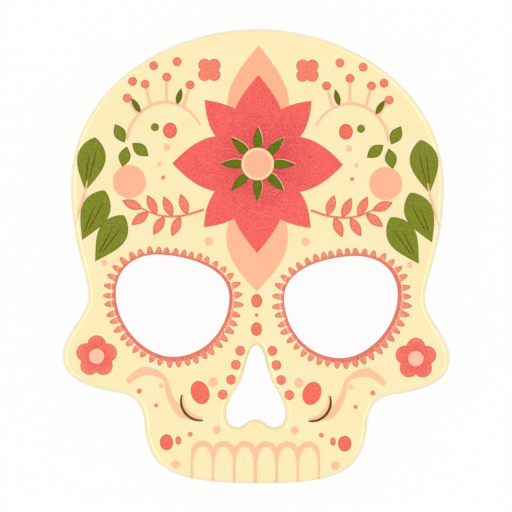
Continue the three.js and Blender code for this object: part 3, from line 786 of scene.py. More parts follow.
@dataclass(frozen=True)
class ChocolateFinish:
    """The plate's white chocolate.

    Grains are sizes in millimetres, and swings say how strongly they colour or raise it.
    """

    slot: str = "white_chocolate"
    cream: str = "feecb9"
    warm: str = "fde9af"
    milky: str = "feefc4"
    # Blended over the outline's rims and walls: partly the paler tone of the chocolate's edge,
    # partly painted shade that darkens them.
    edge_tone_and_shade: str = "ece5c9"
    # Blended over the rims and walls of the openings: painted light that lifts them out of their
    # shade.
    opening: str = "fff2c8"
    edge_tone_and_shade_share: float = 0.6
    opening_painted_light_share: float = 0.3
    roughness: float = 0.22
    shine: float = 0.35
    glow: float = 0.15
    glow_spread: tuple[float, float, float] = (1.0, 0.6, 0.3)
    glow_mm: float = 0.7
    broad_grain: float = 3.2
    broad_swing: float = 3.0
    fine_grain: float = 0.16
    fine_swing: float = 2.2
    fine_relief: float = 0.12
    wave_grain: float = 1.4
    relief: float = 0.3
    relief_depth: float = 0.03
    pit_pitch: float = 1.9
    pit_reach: float = 0.16
    pit_depth: float = 12.0
    ripple_grain: float = 2.6
    ripple_swing: float = 2.2

    def material(self) -> bpy.types.Material:
        """Return the material, a milky satin with faint mottling and a faint grain, with painted
        shade on its outer rims and painted light on the rims of its openings.
        """
        material, wiring, surface = shader(f"moulded_{self.slot}")
        place = wiring.place()
        broad = wiring.noise(place, self.broad_grain, 3.0)
        fine = wiring.noise(place, self.fine_grain, 2.0)
        swing = wiring.swing(broad, self.broad_swing)
        swing = wiring.plus(swing, wiring.swing(fine, self.fine_swing))
        milky, warm = (wiring.times(swing, sign, clamp=True) for sign in (1.0, -1.0))
        color = wiring.blend(milky, linear(self.cream), linear(self.milky))
        color = wiring.blend(warm, color, linear(self.warm))
        mould = moulded(wiring, place, self.roughness)
        # Over the rims and walls the colour turns to painted shade along the outline and to painted
        # light in the openings.
        opening = wiring.stored("opening")
        share = wiring.plus(self.edge_tone_and_shade_share, wiring.times(opening, self.opening_painted_light_share))
        edge = wiring.blend(opening, linear(self.edge_tone_and_shade), linear(self.opening))
        waves = wiring.noise(place, self.wave_grain, 2.0)
        height = wiring.plus(wiring.times(fine, self.fine_relief), waves)
        height = wiring.plus(height, self._pits(wiring, place, mould["Back"]))
        wiring.feed(surface, {
            "Base Color": wiring.blend(wiring.times(mould["Rim"], share), color, edge),
            "Roughness": mould["Roughness"],
            "Normal": wiring.bump(height, self.relief, self.relief_depth),
            "Specular IOR Level": self.shine,
            "Subsurface Weight": self.glow,
            "Subsurface Radius": self.glow_spread,
            "Subsurface Scale": self.glow_mm * MM,
        })
        return material

    def _pits(
        self, wiring: Wiring, place: bpy.types.NodeSocket, back: bpy.types.NodeSocket
    ) -> bpy.types.NodeSocket:
        """Return the bubble pits and ripples that the poured back has and the face has not."""
        inputs = {"Vector": place, "Scale": 1 / (self.pit_pitch * MM)}
        away = wiring.get("ShaderNodeTexVoronoi", inputs, "Distance")
        pit = wiring.minus(self.pit_reach, away, clamp=True)
        ripple = wiring.noise(place, self.ripple_grain, 3.0)
        ripple = wiring.minus(ripple, wiring.times(pit, self.pit_depth))
        return wiring.times(wiring.times(ripple, self.ripple_swing), back)


# Printed films


@dataclass(frozen=True)
class Film:
    """A shallow closed coat in the print plane: its points with their lift, its faces and its edge.
    """

    points: np.ndarray
    faces: np.ndarray
    edge: np.ndarray

    def on(self, side: int) -> Film:
        """Return the film, or its mirror image for the left side."""
        return Film(self.points * (side, 1, 1), self.faces[:, ::side], self.edge)


@dataclass(frozen=True)
class FilmCutter:
    """Cuts coats of ink from outlines."""

    coat: float = 0.02
    lip: float = 0.004
    root: float = -0.02
    stacking: float = 0.7
    rounding: float = 0.12
    first_ring: float = 0.4
    ring_margin: float = 0.93
    edge_width: float = 0.1
    mesh_pitch: float = 0.16
    mesh_margin: float = 1.6

    def border(self, loops: Sequence[np.ndarray]) -> tuple[np.ndarray, np.ndarray]:
        """Return the points and the directed edges round the area that loops cover together."""
        points = np.vstack(loops)
        if len(loops) == 1:
            count = len(points)
            return points, np.column_stack([np.arange(count), (np.arange(count) + 1) % count])
        ends = np.cumsum([len(loop) for loop in loops])
        outlines = [list(range(end - len(loop), end)) for loop, end in zip(loops, ends)]
        found = delaunay_2d_cdt([Vector(p) for p in points], [], outlines, 1, 1e-6)
        edges = np.array(open_sides(found[2]))
        return np.array([tuple(p) for p in found[0]]), edges[np.lexsort(edges.T)]

    def cut(self, loops: Sequence[np.ndarray], coats: int = 0, dense: bool = False) -> Film:
        """Cut one coat.

        Args:
            loops: Outlines, which may overlap.
            coats: How many coats lie under it.
            dense: Whether it needs a fine mesh, to bend over a rim.

        Returns:
            The closed film.
        """
        points, edges = self.border([counter_clockwise(loop) for loop in loops])
        starts, ends = points[edges[:, 0]], points[edges[:, 1]]
        left = left_of(ends - starts)
        inwards = np.zeros_like(points)
        np.add.at(inwards, edges[:, 0], left)
        np.add.at(inwards, edges[:, 1], left)
        used, sides = np.unique(edges, return_inverse=True)
        inwards = inwards[used] / np.maximum(np.linalg.norm(inwards[used], axis=1), 1e-9)[:, None]
        rings = [(points[used] + inwards * reach, self.ring_margin * reach)
                 for reach in (self.first_ring * self.rounding, self.rounding)]
        if dense:
            low, high = points.min(0), points.max(0)
            grid = np.meshgrid(*(np.arange(low[i], high[i], self.mesh_pitch) for i in range(2)))
            net = np.column_stack([axis.ravel() for axis in grid])
            rings.append((net, self.mesh_margin * self.edge_width))
        inner = [place[distances(place, starts, ends)[0] > margin] for place, margin in rings]
        everything = np.vstack([points[used], *inner])
        flat, triangles, _ = filled(everything, sides.reshape(-1, 2), 1e-7)
        return self._closed(flat, triangles, distances(flat, starts, ends)[0], coats)

    def _closed(
        self, flat: np.ndarray, triangles: np.ndarray, away: np.ndarray, coats: int
    ) -> Film:
        """Give a flat patch its rounded lift, its underside and its walls."""
        base = coats * self.stacking * self.coat
        share = np.clip(away / self.rounding, 0, 1)
        lift = base + self.lip + (self.coat - self.lip) * share * (2 - share)
        overlap = (1 - self.stacking) * self.coat
        root = np.full(len(flat), self.root if coats == 0 else base - overlap)
        start, end = np.array(open_sides(triangles)).T
        below, under = start + len(flat), end + len(flat)
        walls = [np.column_stack([below, under, end]), np.column_stack([below, end, start])]
        points = np.vstack([np.column_stack([flat, lift]), np.column_stack([flat, root])])
        faces = np.vstack([triangles, triangles[:, ::-1] + len(flat), *walls])
        edge = np.clip(1 - away / self.edge_width, 0, 1)
        return Film(points, faces, np.concatenate([edge, edge]))


def mesh_from(
    name: str, points: np.ndarray, faces: Iterable[Sequence[int]] = (), sides: Sequence = ()
) -> bpy.types.Mesh:
    """Return a mesh from points in millimetres, level with the table where they are flat."""
    mesh = bpy.data.meshes.new(name)
    solid = np.pad(points, ((0, 0), (0, 3 - points.shape[1]))) * MM
    mesh.from_pydata(solid.tolist(), list(sides), [list(map(int, face)) for face in faces])
    return mesh


def store(mesh: bpy.types.Mesh, name: str, values: Sequence[float] | np.ndarray) -> None:
    """Store a number or a direction for each point of a mesh."""
    data = np.asarray(values, np.float32)
    kind, key = ("FLOAT_VECTOR", "vector") if data.ndim == 2 else ("FLOAT", "value")
    mesh.attributes.new(name, kind, "POINT").data.foreach_set(key, data.ravel())


def smooth_up_to(mesh: bpy.types.Mesh, degrees: float) -> None:
    """Shade a mesh smooth except where faces meet at more than an angle."""
    mesh.shade_smooth()
    mesh.set_sharp_from_angle(angle=math.radians(degrees))


def place_in_scene(name: str, data: bpy.types.ID) -> bpy.types.Object:
    """Return a new object in the scene."""
    thing = bpy.data.objects.new(name, data)
    bpy.context.scene.collection.objects.link(thing)
    return thing


# Geometry Nodes for what repeats or follows a line


def modifier_tree(
    name: str, inputs: dict[str, str]
) -> tuple[Wiring, bpy.types.bpy_prop_collection]:
    """Start a Geometry Nodes tree that is also given its ink."""
    inputs = {"Geometry": "Geometry", **inputs, "Ink": "Material"}
    wiring, given = new_group(name, "Geometry", inputs, {"Geometry": "Geometry"})
    wiring.tree.is_modifier = True
    return wiring, given


def finish_tree(
    wiring: Wiring, made: bpy.types.NodeSocket, ink: bpy.types.NodeSocket
) -> bpy.types.NodeTree:
    """End a tree in Realize Instances and Set Material, and return it."""
    real = wiring.get("GeometryNodeRealizeInstances", {"Geometry": made})
    dressed = wiring.get("GeometryNodeSetMaterial", {"Geometry": real, "Material": ink})
    wiring.add("NodeGroupOutput", {"Geometry": dressed})
    return wiring.tree


def named(wiring: Wiring, name: str, kind: str = "FLOAT") -> bpy.types.NodeSocket:
    """Return a named attribute's value inside a Geometry Nodes tree."""
    inputs = {"Name": name}
    return wiring.get("GeometryNodeInputNamedAttribute", inputs, "Attribute", data_type=kind)


def copies_on(
    wiring: Wiring,
    given: bpy.types.bpy_prop_collection,
    points: bpy.types.NodeSocket,
    angle: bpy.types.NodeSocket,
    size: bpy.types.NodeSocket,
) -> bpy.types.NodeTree:
    """End a tree with a copy of the given film on every point.

    Args:
        wiring: The tree's wiring.
        given: The tree's inputs, with Copy and Ink among them.
        points: The points.
        angle: Each copy's turn about the vertical.
        size: Each copy's scale.

    Returns:
        The finished tree.
    """
    euler = wiring.get("ShaderNodeCombineXYZ", {"Z": angle})
    put = wiring.get("GeometryNodeInstanceOnPoints", {
        "Points": points,
        "Instance": wiring.get("GeometryNodeObjectInfo", {"Object": given["Copy"]}, "Geometry"),
        "Rotation": wiring.get("FunctionNodeEulerToRotation", {0: euler}),
        "Scale": size,
    })
    return finish_tree(wiring, put, given["Ink"])


def copies_tree() -> bpy.types.NodeTree:
    """Return the tree that puts a copy of one film on every point, with its own size and turn."""
    wiring, given = modifier_tree("placed_copies", {"Copy": "Object"})
    turn, size = named(wiring, "copy_turn"), named(wiring, "copy_size", "FLOAT_VECTOR")
    return copies_on(wiring, given, given["Geometry"], turn, size)


def ring_tree() -> bpy.types.NodeTree:
    """Return the tree that sets petals round an opening, longer at its sides than at its top."""
    reals = dict.fromkeys(("Side Reach", "Top Reach", "Spread", "Lean"), "Float")
    inputs = {"Copy": "Object", "Count": "Int", **reals, "Seed": "Int"}
    wiring, given = modifier_tree("petal_ring", inputs)
    curve = wiring.get("GeometryNodeMeshToCurve", {0: given["Geometry"]})
    stops = {"Curve": curve, "Count": given["Count"]}
    points = wiring.get("GeometryNodeResampleCurve", stops, mode="COUNT")
    outward = named(wiring, "outward", "FLOAT_VECTOR")
    axes = wiring.add("ShaderNodeSeparateXYZ", {0: outward}).outputs
    bounds = {0: (-1, -1, -1), 1: (1, 1, 1), "Seed": given["Seed"]}
    chance = wiring.get("FunctionNodeRandomValue", bounds, data_type="FLOAT_VECTOR")
    luck = wiring.add("ShaderNodeSeparateXYZ", {0: chance}).outputs

    def about_one(draw: bpy.types.NodeSocket) -> bpy.types.NodeSocket:
        return wiring.plus(1.0, wiring.times(draw, given["Spread"]))

    angle = wiring.calc("ARCTAN2", axes["Y"], axes["X"])
    angle = wiring.plus(angle, wiring.times(luck["X"], given["Lean"]))
    extra = wiring.minus(given["Side Reach"], given["Top Reach"])
    extra = wiring.times(wiring.times(axes["X"], axes["X"]), extra)
    reach = wiring.plus(given["Top Reach"], extra)
    length, width = wiring.times(reach, about_one(luck["Y"])), about_one(luck["Z"])
    size = wiring.get("ShaderNodeCombineXYZ", {"X": length, "Y": width, "Z": 1})
    return copies_on(wiring, given, points, angle, size)


def stroke_tree() -> bpy.types.NodeTree:
    """Return the tree that draws strokes of ink along lines, as wide as the lines say."""
    wiring, given = modifier_tree("ink_strokes", {"Sides": "Int"})
    radius = named(wiring, "stroke_radius")
    curve = wiring.get("GeometryNodeMeshToCurve", {0: given["Geometry"]})
    curve = wiring.get("GeometryNodeSetCurveRadius", {0: curve, "Radius": radius})
    curve = wiring.get("GeometryNodeSetCurveNormal", {0: curve})
    ring = {"Resolution": given["Sides"], "Radius": 1}
    circle = wiring.get("GeometryNodeCurvePrimitiveCircle", ring)
    shape = {"Curve": curve, "Profile Curve": circle, "Fill Caps": True}
    sweep = wiring.add("GeometryNodeCurveToMesh", shape)
    if "Scale" in sweep.inputs:
        wiring.feed(sweep, {"Scale": radius})
    return finish_tree(wiring, sweep.outputs[0], given["Ink"])


def grow(tree: bpy.types.NodeTree, host: bpy.types.Mesh, values: Inputs) -> bpy.types.Mesh:
    """Run a tree on a host mesh.

    Args:
        tree: The Geometry Nodes tree.
        host: The points or lines that it works on.
        values: A value for each named input.

    Returns:
        The result as a plain mesh.
    """
    carrier = place_in_scene("carrier", host)
    modifier = carrier.modifiers.new(tree.name, "NODES")
    modifier.node_group = tree
    for item in tree.interface.items_tree:
        if item.in_out == "INPUT" and item.name in values:
            modifier[item.identifier] = values[item.name]
    evaluated = carrier.evaluated_get(bpy.context.evaluated_depsgraph_get())
    mesh = bpy.data.meshes.new_from_object(evaluated)
    carrier.modifiers.remove(modifier)
    bpy.data.objects.remove(carrier)
    return mesh


# The print shop, which makes every piece


@dataclass(frozen=True)
class Copy:
    """One copy of a repeated film: its place, its width and height, and its turn in degrees."""

    place: np.ndarray
    width: float
    height: float
    turn: float = 0

    def on(self, side: int) -> Copy:
        """Return the copy, or its mirror image for the left side."""
        if side > 0:
            return self
        return replace(self, place=self.place * (-1, 1), turn=180 - self.turn)


@dataclass(frozen=True)
class Stroke:
    """One stroke of ink: its line, its widths at equal steps of the line, and its top's lift."""

    line: np.ndarray
    widths: tuple[float, ...]
    lift: float = 0.02
    end_steps: int = 6
    end_share: float = 0.1
    end_margin: float = 1.2

    def on(self, side: int) -> Stroke:
        """Return the stroke, or its mirror image for the left side."""
        return replace(self, line=self.line * (side, 1))

    def rounded(self) -> tuple[np.ndarray, np.ndarray]:
        """Return the line with close points at its round ends, and each point's half width."""
        reach = lengths(self.line)
        full = reach[-1]
        angle = np.linspace(0, math.pi / 2, self.end_steps + 1)
        first, last = self.widths[0] / 2, self.widths[-1] / 2
        start, end = self.end_margin * first, full - self.end_margin * last
        middle = reach[(reach > start) & (reach < end)]
        head, tail = first * (1 - np.cos(angle)), full - last * (1 - np.cos(angle))
        station = np.concatenate([head, middle, tail[::-1]])
        shrink = np.concatenate([np.sin(angle), np.ones(len(middle)), np.sin(angle)[::-1]])
        half = np.interp(station / full, np.linspace(0, 1, len(self.widths)), self.widths) / 2
        return stations(self.line, station), half * np.maximum(shrink, self.end_share)


def paired(*items: Copy | Stroke) -> list[Copy | Stroke]:
    """Return each copy or stroke on the left and on the right."""
    return [item.on(side) for item in items for side in SIDES]


def both(name: str, *numbers: int) -> list[str]:
    """Return the CAD names of a left and right pair, or of each numbered pair."""
    endings = [f"_{number}" for number in numbers] or [""]
    return [f"{label}_{name}{ending}" for label in SIDES.values() for ending in endings]


class PrintShop:
    """Makes the pieces and fixes them to the frame."""

    crease = 32.0
    stroke_sides = 12
    scratch_values = ("copy_size", "copy_turn", "outward", "stroke_radius", "stroke_lift")

    def __init__(self, plan: SkullPlan) -> None:
        """Set up the bed, the cutter and the trees."""
        self.plan = plan
        self.bed = PrintBed(plan)
        self.cutter = FilmCutter()
        self.copies, self.rings, self.strokes = copies_tree(), ring_tree(), stroke_tree()

    def fix(self, piece: bpy.types.Object, slot: str, replaced: Sequence[str]) -> None:
        """Fix a piece to the plate's body, shade a print smooth up to a crease, and let it stand
        for CAD nodes.
        """
        if slot != ChocolateFinish.slot:
            smooth_up_to(piece.data, self.crease)
        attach(piece, "root")
        if replaced:
            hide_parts(*replaced)
        count, stands_for = len(piece.data.polygons), ", ".join(replaced) or "trim"
        LOG.info("%s: %d faces for %s", piece.name, count, stands_for)

    def lay_film(
        self, name: str, film: Film, material: bpy.types.Material
    ) -> bpy.types.Object:
        """Return a film laid over the plate, which still has to be fixed."""
        mesh = mesh_from(name, self.bed.lay(film.points), film.faces)
        store(mesh, "ink_edge", film.edge)
        mesh.materials.append(material)
        return place_in_scene(name, mesh)

    def print_film(
        self, name: str, film: Film, ink: Ink, node: str = "", bloom: Bloom | None = None
    ) -> None:
        """Print a film as a piece.

        Args:
            name: The piece's name after print_.
            film: The film in the print plane.
            ink: Its ink.
            node: The CAD node that it stands for, if that has another name.
            bloom: A flower whose ink is deeper round its heart.
        """
        piece = self.lay_film(f"print_{name}", film, ink.value.material(bloom))
        self.fix(piece, ink.value.slot, [node or name])

    def print_copies(
        self,
        name: str,
        unit: Film,
        copies: Sequence[Copy],
        ink: Ink,
        replaced: Sequence[str] = (),
    ) -> None:
        """Print one film many times as a piece.

        Args:
            name: The piece's name after print_.
            unit: A film of unit width and height round the origin.
            copies: The copies' places, sizes and turns.
            ink: The ink.
            replaced: The CAD nodes that the copies stand for.
        """
        host = mesh_from("places", np.array([copy.place for copy in copies]))
        store(host, "copy_size", [(copy.width, copy.height, 1) for copy in copies])
        store(host, "copy_turn", np.radians([copy.turn for copy in copies]))
        self._fix_grown(name, self._copied(self.copies, host, unit, ink), ink, replaced)

    def print_ring(self, loop: np.ndarray, unit: Film, values: Inputs, ink: Ink) -> bpy.types.Mesh:
        """Return the mesh of petals set round a loop, already laid over the plate."""
        count = len(loop)
        sides = [(i, (i + 1) % count) for i in range(count)]
        host = mesh_from("ring", loop, sides=sides)
        store(host, "outward", np.column_stack([outward_of(loop), np.zeros(count)]))
        return self._lay_mesh(self._copied(self.rings, host, unit, ink, values))

    def print_strokes(
        self, name: str, strokes: Sequence[Stroke], ink: Ink, replaced: Sequence[str] = ()
    ) -> None:
        """Draw strokes of ink as a piece.

        Args:
            name: The piece's name after print_.
            strokes: The strokes.
            ink: The ink.
            replaced: The CAD nodes that the strokes stand for.
        """
        points, sides, radii, lifts = [], [], [], []
        for stroke in strokes:
            line, half = stroke.rounded()
            sides.extend((len(points) + i, len(points) + i + 1) for i in range(len(line) - 1))
            points.extend(line)
            radii.extend(half * MM)
            lifts.extend([stroke.lift] * len(line))
        host = mesh_from("lines", np.array(points), sides=sides)
        store(host, "stroke_radius", radii)
        store(host, "stroke_lift", lifts)
        values = {"Sides": self.stroke_sides, "Ink": ink.value.material()}
        self._fix_grown(name, grow(self.strokes, host, values), ink, replaced)

    @staticmethod
    def _copied(
        tree: bpy.types.NodeTree,
        host: bpy.types.Mesh,
        unit: Film,
        ink: Ink,
        values: Inputs | None = None,
    ) -> bpy.types.Mesh:
        """Run a tree that copies a film of unit size, which only exists while it runs."""
        mesh = mesh_from("unit", unit.points, unit.faces)
        store(mesh, "ink_edge", unit.edge)
        template = place_in_scene("unit", mesh)
        inputs = {"Copy": template, "Ink": ink.value.material(), **(values or {})}
        made = grow(tree, host, inputs)
        bpy.data.objects.remove(template)
        return made

    def _lay_mesh(self, mesh: bpy.types.Mesh) -> bpy.types.Mesh:
        """Lay a grown mesh over the plate, the tubes of strokes pressed flat."""
        flat = np.empty(len(mesh.vertices) * 3)
        mesh.vertices.foreach_get("co", flat)
        flat = flat.reshape(-1, 3) / MM
        if "stroke_lift" in mesh.attributes:
            lift = np.empty(len(flat))
            mesh.attributes["stroke_lift"].data.foreach_get("value", lift)
            flat[:, 2] = np.clip(flat[:, 2], -self.cutter.coat, lift)
        mesh.vertices.foreach_set("co", (self.bed.lay(flat) * MM).ravel())
        for spare in self.scratch_values:
            if spare in mesh.attributes:
                mesh.attributes.remove(mesh.attributes[spare])
        mesh.update()
        return mesh

    def _fix_grown(
        self, name: str, mesh: bpy.types.Mesh, ink: Ink, replaced: Sequence[str]
    ) -> None:
        """Lay a grown mesh over the plate and fix it."""
        mesh.name = label = f"print_{name}"
        self.fix(place_in_scene(label, self._lay_mesh(mesh)), ink.value.slot, replaced)


# The plate and its ornament


@dataclass(frozen=True)
class Plate:
    """The moulded plate."""

    name: str = "white_chocolate_plate"
    wall_steps: int = 6
    rim_steps: int = 14
    flat_margin: float = 0.12
    crease: float = 48.0

    def build(self, shop: PrintShop) -> None:
        """Build the plate with drafted walls and rounded front rims."""
        plan = shop.plan
        arc = plan.rim_radius * math.pi / 2
        wall = math.hypot(plan.thickness - plan.rim_radius, plan.draft)
        over = np.concatenate([
            arc + np.linspace(wall, 0, self.wall_steps, endpoint=False),
            np.linspace(arc, 0, self.rim_steps + 1),
            [-self.flat_margin],
        ])
        insets, heights, _, _ = shop.bed.profile(over)
        insets, heights = np.append(self.flat_margin, insets), np.append(0, heights)
        rings, faces, low, high, opening = [], [], [], [], []
        for border in shop.bed.borders:
            inwards, count = -outward_of(border), len(border)
            first = sum(map(len, rings))
            rings.extend(
                np.column_stack([border + inwards * inset, np.full(count, height)])
                for inset, height in zip(insets, heights)
            )
            numbers = first + np.arange(len(insets) * count).reshape(-1, count)
            for a, b in zip(numbers, numbers[1:]):
                faces.extend(np.column_stack([a, np.roll(a, -1), np.roll(b, -1), b]))
            low.append(numbers[0])
            high.append(numbers[-1])
            opening.append(np.full(numbers.size, first > 0))
        points = np.vstack(rings)
        faces.extend([*self._cap(points, low)[:, ::-1], *self._cap(points, high)])
        mesh = mesh_from(self.name, points, faces)
        store(mesh, "opening", np.concatenate(opening))
        smooth_up_to(mesh, self.crease)
        finish = ChocolateFinish()
        mesh.materials.append(finish.material())
        shop.fix(place_in_scene(self.name, mesh), finish.slot, ["skull_plate"])

    @staticmethod
    def _cap(points: np.ndarray, loops: Sequence[np.ndarray]) -> np.ndarray:
        """Return the triangles that close the plate between its outline and its openings."""
        numbers = np.concatenate(loops)
        places = np.split(np.arange(len(numbers)), np.cumsum([len(loop) for loop in loops])[:-1])
        sides = np.vstack([np.column_stack([place, np.roll(place, -1)]) for place in places])
        _, triangles, origin = filled(points[numbers, :2], sides, 1e-9)
        return numbers[origin[triangles]]


@dataclass(frozen=True)
class ForeheadFlower:
    """The large pointed flower with its star of leaves, its heart and the pale petals behind it."""

    heart_shares: Place = (0, 0.402)
    crown_gap: float = 1.8
    tip_show: float = 3.1
    brow_gap: float = 0.3
    pale_width: float = 6.5
    lower_fullness: float = 1.25
    corners: tuple[Place, ...] = ((0, 0.955), (33, 0.565), (50, 0.93), (67.5, 0.67), (90, 1))
    flanks: tuple[Place, ...] = ((0.64, 0.5), (0.76, 0.45), (0.52, 0.52), (0.7, 0.34))
    flank_steps: int = 14
    star_count: int = 8
    star_reach: float = 4.0
    star_foot: float = 1.25
    star_width: float = 0.98
    star_fullness: float = 0.74
    slip_offset: Place = (0.05, 0.06)
    slip_size: float = 1.02
    ring_radius: float = 1.72
    heart_radius: float = 1.42
    glow_offset: Place = (0.5, 0.2)
    glow_reach: float = 5.7
    glow_depth: float = 1.0
    flecks: float = 1.6
    fleck_offset: Place = (3.7, -5.8)

    def loop(self, heart: np.ndarray, reach: float) -> np.ndarray:
        """Return the flower's outline from its quarter."""
        def at(angle: float, share: float) -> np.ndarray:
            turn = math.radians(angle)
            return share * reach * np.array([math.cos(turn), math.sin(turn)])

        quarter = []
        share = np.linspace(0, 1, self.flank_steps, endpoint=False)[:, None]
        for i, (turn, rise) in enumerate(self.flanks):
            ends = self.corners[i : i + 2]
            tip, notch = ends if i % 2 == 0 else ends[::-1]
            turn = tip[0] + turn * (notch[0] - tip[0])
            bulge = at(turn, notch[1] + rise * (tip[1] - notch[1]))
            start, end = (at(*corner) for corner in ends)
            pull = 2 * share * (1 - share) * bulge
            quarter.append((1 - share) ** 2 * start + pull + share**2 * end)
        right = np.vstack([*quarter, [at(*self.corners[-1])]])
        upper = np.vstack([right, right[-2::-1] * (-1, 1)])
        return np.vstack([upper, upper[-2:0:-1] * (1, -1)]) + heart

    def build(self, shop: PrintShop) -> None:
        """Print the flower coat by coat."""
        plan, cut = shop.plan, shop.cutter.cut
        heart = plan.on_forehead(*self.heart_shares)
        brow_top = plan.on_bridge(Middle.brow_levels[0])[1] + Middle.brow_size[1] / 2
        upper = plan.crown_level - self.crown_gap - heart[1]
        lower = heart[1] - brow_top - self.brow_gap
        above = leaf_loop(heart, 90, upper, self.pale_width, steps=60)
        below = leaf_loop(heart, -90, lower, self.pale_width, self.lower_fullness, steps=60)
        shop.print_film("upper_pale_petal", cut([above]), Ink.CROWN_PEACH)
        shop.print_film("lower_pale_petal", cut([below]), Ink.BROW_PEACH)
        flower = cut([self.loop(heart, upper - self.tip_show)], 1)
        bloom = Bloom(
            "forehead",
            heart + self.glow_offset,
            reach=self.glow_reach,
            depth=self.glow_depth,
            flecks=self.flecks,
            fleck_offset=self.fleck_offset,
        )
        shop.print_film("forehead_flower", flower, Ink.CORAL_RED, bloom=bloom)
        length = self.star_reach - self.star_foot
        turns = [i * 360 / self.star_count for i in range(self.star_count)]
        leaves = [
            Copy(polar(heart, self.star_foot, turn), length, self.star_width, turn)
            for turn in turns
        ]
        slips = [
            Copy(
                leaf.place + self.slip_offset,
                leaf.width * self.slip_size,
                leaf.height * self.slip_size,
                leaf.turn,
            )
            for leaf in leaves
        ]
        shadow, leaf = (cut([unit_leaf(self.star_fullness)], coats) for coats in (2, 3))
        shop.print_copies("star_slip", shadow, slips, Ink.CREAM)
        shop.print_copies("star_leaves", leaf, leaves, Ink.LEAF_GREEN, ["flower_star_leaves"])
        ring, middle = disc(self.ring_radius, heart), disc(self.heart_radius, heart)
        shop.print_film("heart_ring", cut([ring], 4), Ink.CREAM, "flower_heart_ring")
        shop.print_film("heart", cut([middle], 5), Ink.PEACH, "flower_heart")


